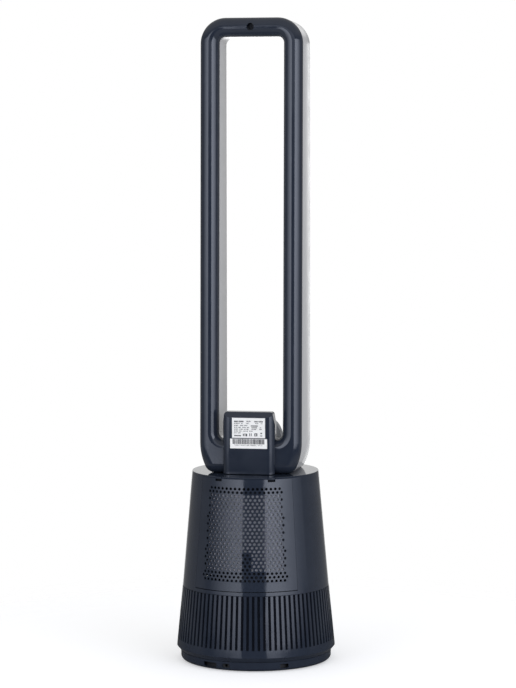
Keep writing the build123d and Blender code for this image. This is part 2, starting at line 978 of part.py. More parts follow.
def make_inlet_bell():
    low = housing_bottom - bell_height
    outer = housing_bore + housing_wall
    rim_low = housing_bottom - bell_rim
    bend_in = (bell_throat + bell_curve_in, housing_bottom - bell_curve_drop)
    bend_out = (bend_in[0] + bell_curve_out, bend_in[1] + bell_curve_up)
    with BuildPart() as inlet_bell:
        with BuildSketch(Plane.XZ):
            with BuildLine():
                Line((bell_throat, housing_bottom), (outer, housing_bottom))
                Line((outer, housing_bottom), (outer, rim_low))
                Line((outer, rim_low), (bell_throat + bell_step, rim_low))
                ThreePointArc(
                    (bell_throat + bell_step, rim_low),
                    bend_out,
                    (bell_radius, low + bell_lip),
                )
                Line((bell_radius, low + bell_lip), (bell_radius, low))
                ThreePointArc((bell_radius, low), bend_in, (bell_throat, housing_bottom))
            make_face()
        revolve(axis=Axis.Z)
    save(inlet_bell, "inlet_bell")


def make_impeller():
    hub_height = impeller_top - impeller_bottom
    tip = housing_bore - impeller_clearance
    hub_bend = (
        impeller_hub_bottom_radius + hub_curve_out,
        impeller_bottom + hub_curve_rise * hub_height,
    )
    with BuildPart() as impeller:
        with BuildSketch(Plane.XY.offset(impeller_bottom)):
            for blade in range(impeller_blades):
                turn = 360.0 * blade / impeller_blades
                inner = impeller_hub_bottom_radius - blade_root_inset
                with BuildLine():
                    start = (inner * cos(radians(turn)), inner * sin(radians(turn)))
                    end_angle = radians(turn + blade_sweep)
                    end_radius = tip + blade_tip_excess
                    end = (end_radius * cos(end_angle), end_radius * sin(end_angle))
                    mid_angle = radians(turn + blade_bend * blade_sweep)
                    mid_radius = (inner + tip) / 2
                    mid = (mid_radius * cos(mid_angle), mid_radius * sin(mid_angle))
                    spine = ThreePointArc(start, mid, end)
                trace(lines=spine, line_width=blade_thickness)
        extrude(amount=hub_height)
        add(
            turned(
                [
                    (0, impeller_bottom),
                    (bell_throat - impeller_clearance, impeller_bottom),
                    (tip, impeller_bottom + shoulder_rise),
                    (tip, impeller_top),
                    (0, impeller_top),
                ]
            ),
            mode=Mode.INTERSECT,
        )
        with BuildSketch(Plane.XZ):
            with BuildLine():
                Line((0, impeller_bottom), (impeller_hub_bottom_radius, impeller_bottom))
                ThreePointArc(
                    (impeller_hub_bottom_radius, impeller_bottom),
                    hub_bend,
                    (impeller_hub_top_radius, impeller_top),
                )
                Line((impeller_hub_top_radius, impeller_top), (0, impeller_top))
                Line((0, impeller_top), (0, impeller_bottom))
            make_face()
        revolve(axis=Axis.Z)
        with BuildSketch(Plane.XY.offset(impeller_bottom - cut_margin)):
            Circle(motor_shaft_radius)
        extrude(amount=hub_height + 2 * cut_margin, mode=Mode.SUBTRACT)
    save(impeller, "impeller")


def make_motor_shaft():
    with BuildPart() as motor_shaft:
        with BuildSketch(Plane.XY.offset(impeller_bottom)):
            Circle(motor_shaft_radius)
        extrude(amount=motor_shaft_top - impeller_bottom)
    save(motor_shaft, "motor_shaft")


def make_motor_bucket():
    """Cup for the motor, held in the housing by its straightening vanes."""
    inner = bucket_radius - wall
    with BuildPart() as motor_bucket:
        add(
            turned(
                [
                    (bearing_radius, bucket_bottom),
                    (bucket_radius, bucket_bottom),
                    (bucket_radius, bucket_top),
                    (inner, bucket_top),
                    (inner, bucket_bottom + bearing_height),
                    (bearing_radius, bucket_bottom + bearing_height),
                ]
            )
        )
        with BuildSketch(Plane.XY.offset(bucket_bottom)):
            with PolarLocations(0, vane_count):
                with Locations(((inner + housing_bore) / 2 + wall / 4, 0)):
                    Rectangle(housing_bore - inner - wall / 2, vane_thickness)
        extrude(amount=bucket_top - bucket_bottom)
        add(
            turned(
                [
                    (bearing_radius, bucket_bottom),
                    (housing_bore, bucket_bottom),
                    (housing_bore, bucket_top),
                    (bearing_radius, bucket_top),
                ]
            ),
            mode=Mode.INTERSECT,
        )
    save(motor_bucket, "motor_bucket")


def make_fan_motor():
    low = bucket_bottom + bearing_height
    high = low + motor_height
    pocket = high - bearing_height
    bore = motor_shaft_radius + shaft_clearance
    with BuildPart() as fan_motor:
        add(
            turned(
                [
                    (bore, low),
                    (motor_radius, low),
                    (motor_radius, high),
                    (bearing_radius, high),
                    (bearing_radius, pocket),
                    (bore, pocket),
                ]
            )
        )
    save(fan_motor, "fan_motor")


def make_motor_bearings():
    bore = motor_shaft_radius + running_fit
    upper = bucket_bottom + motor_height
    with BuildPart() as motor_bearings:
        for low in (bucket_bottom, upper):
            with BuildSketch(Plane.XY.offset(low)):
                Circle(bearing_radius)
                Circle(bore, mode=Mode.SUBTRACT)
            extrude(amount=bearing_height)
    save(motor_bearings, "motor_bearings")


def make_bucket_cap():
    """Streamlined cap over the motor, with a flat crown."""
    crown = bucket_top + cap_rise
    inner = bucket_radius - wall
    with BuildPart() as bucket_cap:
        with BuildSketch(Plane.XZ):
            with BuildLine():
                ThreePointArc(
                    (bucket_radius, bucket_top),
                    (cap_curve_reach * bucket_radius, bucket_top + cap_curve_rise * cap_rise),
                    (cap_crown_radius, crown),
                )
                Polyline(
                    (cap_crown_radius, crown),
                    (0, crown),
                    (0, crown - wall),
                    (cap_crown_radius, crown - wall),
                )
                ThreePointArc(
                    (cap_crown_radius, crown - wall),
                    (cap_curve_reach * inner, bucket_top + cap_curve_rise * (cap_rise - wall)),
                    (inner, bucket_top),
                )
                Line((inner, bucket_top), (bucket_radius, bucket_top))
            make_face()
        revolve(axis=Axis.Z)
    save(bucket_cap, "bucket_cap")


def make_air_duct():
    """Duct from the round housing to the slotted collar under the loop."""
    outer_radius = housing_bore + housing_wall
    with BuildPart() as air_duct:
        with BuildSketch(Plane.XY.offset(housing_top)):
            Circle(outer_radius)
        with BuildSketch(Plane.XY.offset(duct_shoulder)):
            RectangleRounded(collar_length, collar_width, collar_corner)
        loft(ruled=True)
        with BuildSketch(Plane.XY.offset(housing_top)):
            Circle(housing_bore)
        with BuildSketch(Plane.XY.offset(duct_shoulder)):
            RectangleRounded(
                collar_length - 2 * housing_wall,
                collar_width - 2 * housing_wall,
                collar_corner - housing_wall,
            )
        loft(ruled=True, mode=Mode.SUBTRACT)
        with BuildSketch(Plane.XY.offset(duct_shoulder)):
            RectangleRounded(collar_length, collar_width, collar_corner)
            RectangleRounded(
                collar_length - 2 * housing_wall,
                collar_width - 2 * housing_wall,
                collar_corner - housing_wall,
                mode=Mode.SUBTRACT,
            )
        extrude(amount=collar_top - duct_shoulder)
        with BuildSketch(Plane.XY.offset(duct_shoulder)):
            RectangleRounded(
                collar_length + 2 * duct_flange,
                collar_width + 2 * duct_flange,
                collar_corner + duct_flange,
            )
            RectangleRounded(collar_length, collar_width, collar_corner, mode=Mode.SUBTRACT)
        extrude(amount=duct_flange_thickness)
    save(air_duct, "air_duct")


def make_duct_gasket():
    low = duct_shoulder + duct_flange_thickness
    with BuildPart() as duct_gasket:
        with BuildSketch(Plane.XY.offset(low)):
            RectangleRounded(
                collar_length + 2 * gasket_width,
                collar_width + 2 * gasket_width,
                collar_corner + gasket_width,
            )
            RectangleRounded(collar_length, collar_width, collar_corner, mode=Mode.SUBTRACT)
        extrude(amount=casing_top - low)
    save(duct_gasket, "duct_gasket")


# ================================================================ electronics
def make_power_board():
    """Mains board on the swivel floor, with its standoffs and tall parts."""
    with BuildPart() as power_board:
        with BuildSketch(Plane.XY.offset(floor_top)):
            with Locations((0, power_board_centre)):
                with GridLocations(
                    power_board_length - 2 * standoff_inset,
                    power_board_width - 2 * standoff_inset,
                    2,
                    2,
                ):
                    Circle(standoff_radius)
        extrude(amount=power_board_height - floor_top)
        with BuildSketch(Plane.XY.offset(power_board_height)):
            with Locations((0, power_board_centre)):
                Rectangle(power_board_length, power_board_width)
        extrude(amount=board_thickness)
        with BuildSketch(Plane.XY.offset(power_board_height + board_thickness)):
            with Locations((-board_part_reach, power_board_centre)):
                Rectangle(transformer_length, transformer_width)
            with Locations((board_part_reach, power_board_centre)):
                with GridLocations(capacitor_pitch, capacitor_pitch, 2, 2):
                    Circle(capacitor_radius)
        extrude(amount=board_part_height)
    save(power_board, "power_board")


# ================================================================ loop
def seam_plane(depth=0.0):
    """Leaning plane of the seam between the two shells, moved rearwards by depth."""
    lean = radians(loop_lean)
    rear = (0, cos(lean), sin(lean))
    origin = (0, seam_at_deck + depth * rear[1], deck_top + depth * rear[2])
    return Plane(origin=origin, x_dir=(1, 0, 0), z_dir=(0, -rear[1], -rear[2]))


def on_seam(height):
    """Distance up the leaning seam plane of a height above the deck."""
    return (height - deck_top) / cos(radians(loop_lean))


def loop_outline(depth, inset):
    """Outer outline of the loop, drawn inset inside its skin, feet below the deck."""
    half = loop_half_width - inset
    top = on_seam(total_height) - inset
    top_radius = loop_top_radius - inset
    turn = radians(loop_lower_turn)
    big = loop_lower_radius - inset
    toe = loop_toe_radius - inset
    low = inset
    drop = big * sin(turn) + toe * (1 - sin(turn))
    knee = (half - big * (1 - cos(turn)), low + drop - big * sin(turn))
    toe_end = (knee[0] - toe * cos(turn), low)
    with BuildSketch(seam_plane(depth)) as outline:
        with BuildLine():
            Line((-toe_end[0], low), toe_end)
            RadiusArc(toe_end, knee, -toe)
            RadiusArc(knee, (half, low + drop), -big)
            Line((half, low + drop), (half, top - top_radius))
            RadiusArc((half, top - top_radius), (half - top_radius, top), -top_radius)
            Line((half - top_radius, top), (top_radius - half, top))
            RadiusArc((top_radius - half, top), (-half, top - top_radius), -top_radius)
            Line((-half, top - top_radius), (-half, low + drop))
            RadiusArc((-half, low + drop), (-knee[0], knee[1]), -big)
            RadiusArc((-knee[0], knee[1]), (-toe_end[0], low), -toe)
        make_face()
    return outline.sketch


def opening_outline(depth, outset):
    """Outline of the loop's opening, drawn outset inside the loop's wall."""
    low = on_seam(opening_bottom)
    high = on_seam(opening_top)
    with BuildSketch(seam_plane(depth)) as outline:
        with Locations((0, (low + high) / 2)):
            RectangleRounded(
                2 * (opening_half_width + outset),
                high - low + 2 * outset,
                opening_radius + outset,
            )
    return outline.sketch


def front_side(inset):
    """Side view of the space that the front shell may fill, drawn inset."""
    lean_run = tan(radians(front_lean))
    bottom_front = front_at_deck + inset
    top_front = front_at_deck + inset - (total_height - deck_top) * lean_run
    with BuildPart() as space:
        with BuildSketch(Plane.YZ):
            Polygon(
                (bottom_front, deck_top + inset),
                (seam_at_deck + cut_margin, deck_top + inset),
                (seam_at_deck + cut_margin, total_height + cut_margin),
                (top_front, total_height + cut_margin),
                align=None,
            )
        extrude(amount=loop_half_width + cut_margin, both=True)
    return space.part


def collar_opening(low, high):
    """Straight hole for the air duct's collar."""
    with BuildPart() as hole:
        with BuildSketch(Plane.XY.offset(low)):
            RectangleRounded(
                collar_length + 2 * part_gap,
                collar_width + 2 * part_gap,
                collar_corner + part_gap,
            )
        extrude(amount=high - low)
    return hole.part


def loop_screw_plane(depth):
    """Plane of the top screw, moved rearwards by depth from the seam."""
    plane = seam_plane(depth)
    lift = on_seam(total_height) - loop_screw_drop
    return Plane(origin=plane.from_local_coords((0, lift, 0)), x_dir=(1, 0, 0), z_dir=-plane.z_dir)


def loop_depth_at_top():
    """Depth of the front shell behind its nose, at the height of the top screw."""
    rise = total_height - loop_screw_drop - deck_top
    seam = seam_at_deck - rise * tan(radians(loop_lean))
    front = front_at_deck - rise * tan(radians(front_lean))
    return (seam - front) / cos(radians(loop_lean))


def make_loop_rear_shell():
    reach = loop_screw_recess_radius + loop_screw_boss_wall
    with BuildPart() as loop_rear_shell:
        extrude(loop_outline(0, 0), amount=-rear_shell_depth)
        extrude(opening_outline(0, 0), amount=-rear_shell_depth, mode=Mode.SUBTRACT)
        rear_edges = loop_rear_shell.faces().sort_by(seam_sort())[-1].edges()
        fillet(rear_edges, rear_shell_round)
        add(rear_cavity(), mode=Mode.SUBTRACT)
        with BuildSketch(loop_screw_plane(0)):
            Circle(reach)
        extrude(amount=rear_shell_depth - shell_wall)
        with BuildSketch(loop_screw_plane(loop_screw_seat)):
            Circle(loop_screw_recess_radius)
        extrude(amount=rear_shell_depth, mode=Mode.SUBTRACT)
        with BuildSketch(loop_screw_plane(-cut_margin)):
            Circle(loop_screw_shank_radius)
        extrude(amount=rear_shell_depth, mode=Mode.SUBTRACT)
    save(loop_rear_shell, "loop_rear_shell")


def seam_sort():
    """Axis that points to the rear, square to the seam."""
    lean = radians(loop_lean)
    return Axis((0, 0, 0), (0, cos(lean), sin(lean)))


def rear_cavity():
    """Hollow of the rear shell."""
    with BuildPart() as cavity:
        extrude(loop_outline(0, shell_wall), amount=-(rear_shell_depth - shell_wall))
        extrude(
            opening_outline(0, shell_wall),
            amount=-(rear_shell_depth - shell_wall),
            mode=Mode.SUBTRACT,
        )
        rear_edges = cavity.faces().sort_by(seam_sort())[-1].edges()
        fillet(rear_edges, rear_shell_round - shell_wall)
        extrude(loop_outline(0, shell_wall), amount=cut_margin)
        extrude(opening_outline(cut_margin, shell_wall), amount=2 * cut_margin, mode=Mode.SUBTRACT)
    return cavity.part


def front_block(inset, outset):
    """Solid form of the front shell, drawn inset, before it is hollowed."""
    reach = seam_at_deck - front_at_deck + 2 * cut_margin
    with BuildPart() as block:
        extrude(loop_outline(0, inset), amount=reach + cut_margin)
        extrude(opening_outline(0, outset), amount=reach, taper=-opening_flare, mode=Mode.SUBTRACT)
        add(front_side(inset), mode=Mode.INTERSECT)
    return block.part


def make_loop_front_shell():
    with BuildPart() as loop_front_shell:
        add(front_block(0, 0))
        nose = loop_front_shell.faces().sort_by(Axis.Y)[0].edges()
        fillet(nose.filter_by(lambda edge: edge.center().Z > deck_top + shell_wall), front_round)
        add(front_block(shell_wall, shell_wall), mode=Mode.SUBTRACT)
        extrude(opening_outline(0, shell_wall + air_slot_bite), amount=air_slot, mode=Mode.SUBTRACT)
        add(collar_opening(deck_top - cut_margin, deck_top + 3 * shell_wall), mode=Mode.SUBTRACT)
        with BuildSketch(loop_screw_plane(0)):
            Circle(loop_screw_shank_radius + loop_screw_boss_wall)
        extrude(amount=-(loop_depth_at_top() - shell_wall / 2))
        with BuildSketch(loop_screw_plane(cut_margin)):
            Circle(loop_screw_shank_radius)
        extrude(amount=-(loop_screw_length + cut_margin), mode=Mode.SUBTRACT)
    save(loop_front_shell, "loop_front_shell")


def make_air_guide():
    """Thin lip inside the loop that turns the air out of the slot."""
    near = shell_wall + air_slot
    far = near + guide_wall
    with BuildPart() as air_guide:
        extrude(opening_outline(guide_foot, far), amount=guide_depth)
        extrude(opening_outline(guide_foot, near), amount=guide_depth, mode=Mode.SUBTRACT)
        extrude(opening_outline(guide_foot, far), amount=guide_foot)
        extrude(opening_outline(guide_foot, shell_wall), amount=guide_foot, mode=Mode.SUBTRACT)
    save(air_guide, "air_guide")


def make_loop_screw():
    with BuildPart() as loop_screw:
        with BuildSketch(loop_screw_plane(loop_screw_seat)):
            Circle(loop_screw_head_radius)
            Rectangle(driver_recess_length, driver_recess_width, mode=Mode.SUBTRACT)
            Rectangle(driver_recess_width, driver_recess_length, mode=Mode.SUBTRACT)
        extrude(amount=loop_screw_head_height)
        with BuildSketch(loop_screw_plane(loop_screw_seat)):
            Circle(loop_screw_head_radius)
        extrude(amount=loop_screw_head_height / 2)
        with BuildSketch(loop_screw_plane(loop_screw_seat)):
            Circle(loop_screw_shank_radius)
        extrude(amount=-(loop_screw_length - loop_screw_end_gap))
    save(loop_screw, "loop_screw")


# ================================================================ neck
def neck_block(inset):
    """Form of the box behind the foot of the loop, drawn inset."""
    half = neck_width / 2 - inset
    rear = neck_rear - inset
    front = seam_at_deck + neck_front_step + inset
    radius = neck_edge_radius - inset
    top = neck_top - inset
    corner = neck_top_corner - inset
    bevel_in = inset * tan(radians(45.0 / 2))
    bevel_low = neck_top - neck_bevel - bevel_in
    shoulder = half - neck_shoulder_in
    shoulder_low = neck_top - neck_shoulder_drop
    foot = deck_top + neck_foot_gap
    with BuildPart() as block:
        with BuildSketch(Plane.XY.offset(foot)):
            with BuildLine():
                Polyline((-half, rear - radius), (-half, front), (half, front), (half, rear - radius))
                RadiusArc((half, rear - radius), (half - radius, rear), -radius)
                Line((half - radius, rear), (radius - half, rear))
                RadiusArc((radius - half, rear), (-half, rear - radius), -radius)
            make_face()
        extrude(amount=top - foot)
        with BuildSketch(Plane.XZ.offset(-front)):
            with BuildLine():
                Polyline((-shoulder, top - corner), (-half, shoulder_low), (-half, foot))
                Line((-half, foot), (half, foot))
                Polyline((half, foot), (half, shoulder_low), (shoulder, top - corner))
                RadiusArc((shoulder, top - corner), (shoulder - corner, top), -corner)
                Line((shoulder - corner, top), (corner - shoulder, top))
                RadiusArc((corner - shoulder, top), (-shoulder, top - corner), -corner)
            make_face()
        extrude(amount=front - rear, mode=Mode.INTERSECT)
        with BuildSketch(Plane.YZ):
            Polygon(
                (front, foot),
                (rear, foot),
                (rear, bevel_low),
                (neck_rear - neck_bevel - bevel_in, top),
                (front, top),
                align=None,
            )
        extrude(amount=neck_width, both=True, mode=Mode.INTERSECT)
    return block.part


def loop_envelope(gap):
    """Space of the loop and its control pod, widened by a gap, to keep the box out."""
    with BuildPart() as space:
        extrude(loop_outline(0, -gap), amount=-(rear_shell_depth + gap))
        extrude(opening_outline(0, -gap), amount=-(rear_shell_depth + gap), mode=Mode.SUBTRACT)
    return space.part


def make_neck_cover():
    with BuildPart() as neck_cover:
        add(neck_block(0))
        add(neck_block(neck_wall), mode=Mode.SUBTRACT)
        add(loop_envelope(part_gap), mode=Mode.SUBTRACT)
    save(neck_cover, "neck_cover")


def make_plate(name, width, height, bottom):
    with BuildPart() as plate:
        with BuildSketch(Plane.XZ.offset(-neck_rear)):
            with Locations((plate_offset, bottom + height / 2)):
                Rectangle(width, height)
        extrude(amount=-plate_thickness)
    save(plate, name)


# ================================================================ control pod
def pod_block(inset):
    """Round panel housing that stands on the floor of the opening, drawn inset."""
    rear = pod_front() + pod_depth - inset
    depth = pod_depth - 2 * inset
    with BuildPart() as block:
        with BuildSketch(Plane.XZ.offset(-rear)):
            with Locations((0, pod_centre)):
                Circle(pod_radius - inset)
        extrude(amount=depth)
    return block.part


def button_places():
    """Centres of the three buttons on the pod's front."""
    return [(step * button_spacing, button_centre) for step in (-1, 0, 1)]


def pod_front():
    return front_at_deck + pod_front_inset


def make_control_pod():
    with BuildPart() as control_pod:
        add(pod_block(0))
        add(pod_block(shell_wall), mode=Mode.SUBTRACT)
        add(front_block(-part_gap, -part_gap), mode=Mode.SUBTRACT)
        add(loop_envelope(part_gap), mode=Mode.SUBTRACT)
        with BuildSketch(Plane.XZ.offset(-pod_front())):
            with Locations((0, display_centre)):
                RectangleRounded(
                    display_width + 2 * display_fit,
                    display_height + 2 * display_fit,
                    display_corner,
                )
        extrude(amount=-display_thickness, mode=Mode.SUBTRACT)
        with BuildSketch(Plane.XZ.offset(-pod_front())):
            with Locations((0, display_centre)):
                RectangleRounded(
                    display_width - 2 * display_ledge,
                    display_height - 2 * display_ledge,
                    display_opening_corner,
                )
            with Locations(*button_places()):
                Circle(button_radius + button_gap)
        extrude(amount=-2 * shell_wall, mode=Mode.SUBTRACT)
    save(control_pod, "control_pod")


def make_display_window():
    with BuildPart() as display_window:
        with BuildSketch(Plane.XZ.offset(-pod_front())):
            with Locations((0, display_centre)):
                RectangleRounded(display_width, display_height, display_corner)
        extrude(amount=-display_thickness)
    save(display_window, "display_window")


def make_buttons():
    names = ("power_button", "speed_button", "swing_button")
    for place, name in zip(button_places(), names):
        with BuildPart() as button:
            with BuildSketch(Plane.XZ.offset(-(pod_front() - button_proud))):
                with Locations(place):
                    Circle(button_radius)
            extrude(amount=-button_length)
        save(button, name)


def make_control_board():
    rear = pod_front() - button_proud + button_length + button_travel + part_gap
    post_offset = control_board_length / 2 - control_board_margin
    with BuildPart() as control_board:
        with BuildSketch(Plane.XZ.offset(-rear)):
            with Locations((0, opening_bottom + control_board_height / 2)):
                Rectangle(control_board_length, control_board_height - control_board_margin)
        extrude(amount=-board_thickness)
        for side in (-1, 1):
            with BuildSketch(Plane.XZ.offset(-rear)):
                with Locations((side * post_offset, button_centre)):
                    Circle(control_post_radius)
            extrude(amount=rear - pod_front() - shell_wall)
    save(control_board, "control_board")


make_base_plate()
make_foot_pads()
make_ballast_ring()
make_cord_gland()
make_slide_ring()
make_ring_gear()
make_gear_screws()
make_drive_pinion()
make_swing_motor()
make_hub_retainer()
make_hub_screws()
make_swivel_floor()
make_support_posts()
make_isolation_mounts()
make_intake_ring()
make_intake_screen()
make_floor_screws()
make_base_shell()
make_rear_cover()
make_cover_latches()
make_filter_frame()
make_filter_pad()
make_pull_tab()
make_top_deck()
make_fan_housing()
make_inlet_bell()
make_impeller()
make_motor_shaft()
make_motor_bucket()
make_fan_motor()
make_motor_bearings()
make_bucket_cap()
make_air_duct()
make_duct_gasket()
make_power_board()
make_loop_rear_shell()
make_loop_front_shell()
make_air_guide()
make_loop_screw()
make_neck_cover()
make_plate("rating_plate", rating_plate_width, rating_plate_height, rating_plate_bottom)
make_plate("code_plate", code_plate_width, code_plate_height, code_plate_bottom)
make_control_pod()
make_display_window()
make_buttons()
make_control_board()
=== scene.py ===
"""Bladeless fan: finishes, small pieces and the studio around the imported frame."""

import math

import bmesh
import bpy
from bpy.props import FloatProperty, IntProperty, PointerProperty, StringProperty
from mathutils import Matrix, Vector


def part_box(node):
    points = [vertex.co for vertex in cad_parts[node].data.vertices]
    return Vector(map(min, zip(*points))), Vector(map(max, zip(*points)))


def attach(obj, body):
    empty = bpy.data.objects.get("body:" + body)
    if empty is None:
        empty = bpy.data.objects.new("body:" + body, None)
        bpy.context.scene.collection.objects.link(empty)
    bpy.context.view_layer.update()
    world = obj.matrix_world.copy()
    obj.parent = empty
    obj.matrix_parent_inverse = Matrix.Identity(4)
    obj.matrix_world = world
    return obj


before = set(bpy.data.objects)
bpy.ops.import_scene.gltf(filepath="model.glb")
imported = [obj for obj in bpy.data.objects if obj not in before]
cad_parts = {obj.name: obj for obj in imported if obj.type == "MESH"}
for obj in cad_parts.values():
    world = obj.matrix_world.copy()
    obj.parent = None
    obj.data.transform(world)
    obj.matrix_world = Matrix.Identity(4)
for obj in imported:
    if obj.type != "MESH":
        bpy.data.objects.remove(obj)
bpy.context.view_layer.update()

bl_info = {
    "name": "Bladeless fan",
    "version": (1, 0, 0),
    "blender": (4, 5, 0),
    "location": "View3D > Sidebar > Fan",
    "description": "Finishes, small pieces and a photo studio for a bladeless tower fan",
    "category": "Object",
}

BUTTONS = ("power_button", "speed_button", "swing_button")
MM = 0.001
# In pixels of the photo: its long side, the focal length, and how far the fan's axis lies
# beside the middle.
IMAGE_LONG_SIDE_PX = 688.0
FOCAL_PX = 2682.2
AXIS_SHIFT_PX = -3.01


# ------------------------------------------------------------------ colour and node helpers
def linear(hex_colour):
    """sRGB hex colour as linear red, green, blue and alpha."""
    values = [int(hex_colour[i : i + 2], 16) / 255 for i in (1, 3, 5)]
    return [v / 12.92 if v <= 0.04045 else ((v + 0.055) / 1.055) ** 2.4 for v in values] + [1.0]


def add_node(tree, kind, inputs=None, **settings):
    """Adds a node, sets its properties, and sets or links each input named or numbered."""
    node = tree.nodes.new(kind)
    for name, value in settings.items():
        setattr(node, name, value)
    for name, value in (inputs or {}).items():
        if isinstance(value, bpy.types.NodeSocket):
            tree.links.new(value, node.inputs[name])
        else:
            node.inputs[name].default_value = value
    return node


def ramp(tree, value, low, high, start=0.0, end=1.0):
    """Smooth step of a value from start at low to end at high."""
    node = add_node(
        tree,
        "ShaderNodeMapRange",
        {"Value": value, 1: low, 2: high, 3: start, 4: end},
        interpolation_type="SMOOTHSTEP",
    )
    return node.outputs[0]


def blend_values(tree, operation, first, *others):
    """Joins values two at a time with one operation."""
    for other in others:
        first = add_node(
            tree, "ShaderNodeMath", {0: first, 1: other}, operation=operation
        ).outputs[0]
    return first


def new_finish(name, **values):
    """A material with one shader, and the named values set on its sockets."""
    material = bpy.data.materials.new(name)
    material.use_nodes = True
    tree = material.node_tree
    tree.nodes.clear()
    names = {key.replace("_", " ").title().replace("Ior", "IOR"): v for key, v in values.items()}
    shader = add_node(tree, "ShaderNodeBsdfPrincipled", names)
    add_node(tree, "ShaderNodeOutputMaterial", {"Surface": shader.outputs["BSDF"]})
    return material, tree, shader


def add_bump(tree, shader, height, depth):
    """Raises the surface by a pattern, depth in metres."""
    bump = add_node(tree, "ShaderNodeBump", {"Height": height, "Distance": depth})
    tree.links.new(bump.outputs["Normal"], shader.inputs["Normal"])


def object_coords(tree):
    """Place in the fan's frame in metres, carried along by a moving piece."""
    return add_node(tree, "ShaderNodeTexCoord").outputs["Object"]


def size_of(tree, value):
    """A value without its sign."""
    return add_node(tree, "ShaderNodeMath", {0: value}, operation="ABSOLUTE").outputs[0]


def part_of(tree, vector, axis):
    """One part of a vector: X, Y or Z."""
    return add_node(tree, "ShaderNodeSeparateXYZ", {0: vector}).outputs[axis]


def any_ray(tree, *kinds):
    """1 for rays of the named kinds, 0 for all others."""
    path = add_node(tree, "ShaderNodeLightPath")
    return blend_values(tree, "MAXIMUM", *(path.outputs[f"Is {kind} Ray"] for kind in kinds))


# ------------------------------------------------------------------ finishes
# Most of a noise pattern lies between these two values.
SPREAD = (0.3, 0.7)


def mottled(tree, coords, patch, detail=3.0):
    """Soft cloudy pattern with patches of the given size in metres."""
    noise = add_node(
        tree, "ShaderNodeTexNoise", {"Vector": coords, "Scale": 1 / patch, "Detail": detail}
    )
    return noise.outputs["Fac"]


def stretched(tree, coords, sizes):
    """Coordinates for marks that run one way: their sizes in metres along X, Y and Z."""
    node = add_node(
        tree, "ShaderNodeMapping", {"Vector": coords, "Scale": [1 / size for size in sizes]}
    )
    return node.outputs["Vector"]


def mix_colours(tree, factor, first, second):
    """The first colour at factor 0, the second at 1."""
    node = add_node(
        tree, "ShaderNodeMix", {0: factor, 6: first, 7: second}, data_type="RGBA"
    )
    return node.outputs[2]


def surface(name, colours, patch, roughness, grain, depth, **values):
    """A material with two close colours in soft patches, roughness between two values that
    follows them, and a grain of one size and depth, in metres."""
    material, tree, shader = new_finish(name, **values)
    coords = object_coords(tree)
    cloud = mottled(tree, coords, patch)
    tint = mix_colours(tree, ramp(tree, cloud, *SPREAD), linear(colours[0]), linear(colours[1]))
    tree.links.new(tint, shader.inputs["Base Color"])
    tree.links.new(ramp(tree, cloud, *SPREAD, *roughness), shader.inputs["Roughness"])
    add_bump(tree, shader, mottled(tree, coords, grain, 1.5), depth)
    return material, tree, shader


def gloss_abs(name, colours, roughness):
    """ABS moulded in a polished tool: hard even gloss, a waviness that bends reflections a
    little, and a faint haze where it has been wiped."""
    return surface(name, colours, 26 * MM, roughness, 9 * MM, 0.011 * MM, ior=1.53)


# The outer sides lie beyond this share of the half width.
BOWED_FROM = 0.8


def bow_sides(tree, shader, node, turn):
    """Lets the outer sides of a moulding read as crowned: the surface turns away more and more
    from the node's rear edge on, to the given slope at its front edge."""
    low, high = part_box(node)
    depth = high[1] - low[1]
    coords = object_coords(tree)
    aside = size_of(tree, part_of(tree, coords, "X"))
    outer = blend_values(tree, "GREATER_THAN", aside, BOWED_FROM * high[0])
    ahead = blend_values(tree, "SUBTRACT", high[1], part_of(tree, coords, "Y"))
    fall = blend_values(
        tree, "MULTIPLY", ahead, ahead, ahead, outer, -turn / (3 * depth * depth)
    )
    bow = add_node(tree, "ShaderNodeBump", {"Height": fall, "Distance": 1.0})
    grain = shader.inputs["Normal"].links[0].from_node
    tree.links.new(bow.outputs["Normal"], grain.inputs["Normal"])


def shade_and_dull_below(tree, shader, level, tone):
    """Darkens a finish below a height to a painted shade and dulls it there: below its grip a
    latch arm sits down in its slot, where shade falls.
    """
    height = part_of(tree, object_coords(tree), "Z")
    below = blend_values(tree, "LESS_THAN", height, level)
    colour = shader.inputs["Base Color"].links[0].from_socket
    rough = shader.inputs["Roughness"].links[0].from_socket
    tree.links.new(mix_colours(tree, below, colour, linear(tone)), shader.inputs["Base Color"])
    tree.links.new(blend_values(tree, "MAXIMUM", rough, below), shader.inputs["Roughness"])


def satin_abs(name, colours):
    """ABS from a spark-eroded tool: an even satin with a grain of a third of a millimetre."""
    return surface(name, colours, 18 * MM, (0.34, 0.42), 0.35 * MM, 0.006 * MM, ior=1.53)[0]


def black_polypropylene():
    """Unpainted polypropylene: greasy low sheen, slightly blotched."""
    return surface(
        "black_polypropylene", ("#0d0e11", "#15161a"), 9 * MM, (0.42, 0.56), 0.6 * MM, 0.012 * MM
    )[0]


def matt_black_moulding():
    """Polypropylene from a coarsely eroded tool: deep black, hardly any sheen."""
    return surface(
        "matt_black_polypropylene",
        ("#04070d", "#080c15"),
        9 * MM,
        (0.75, 0.9),
        0.5 * MM,
        0.03 * MM,
        specular_ior_level=0.2,
    )[0]


# Distance between the threads, drawn coarse so that they show.
THREAD_PITCH = 0.9 * MM
# A wave pattern of scale 1 repeats each pi / 10 of a metre.
WAVE_UNITS = 10


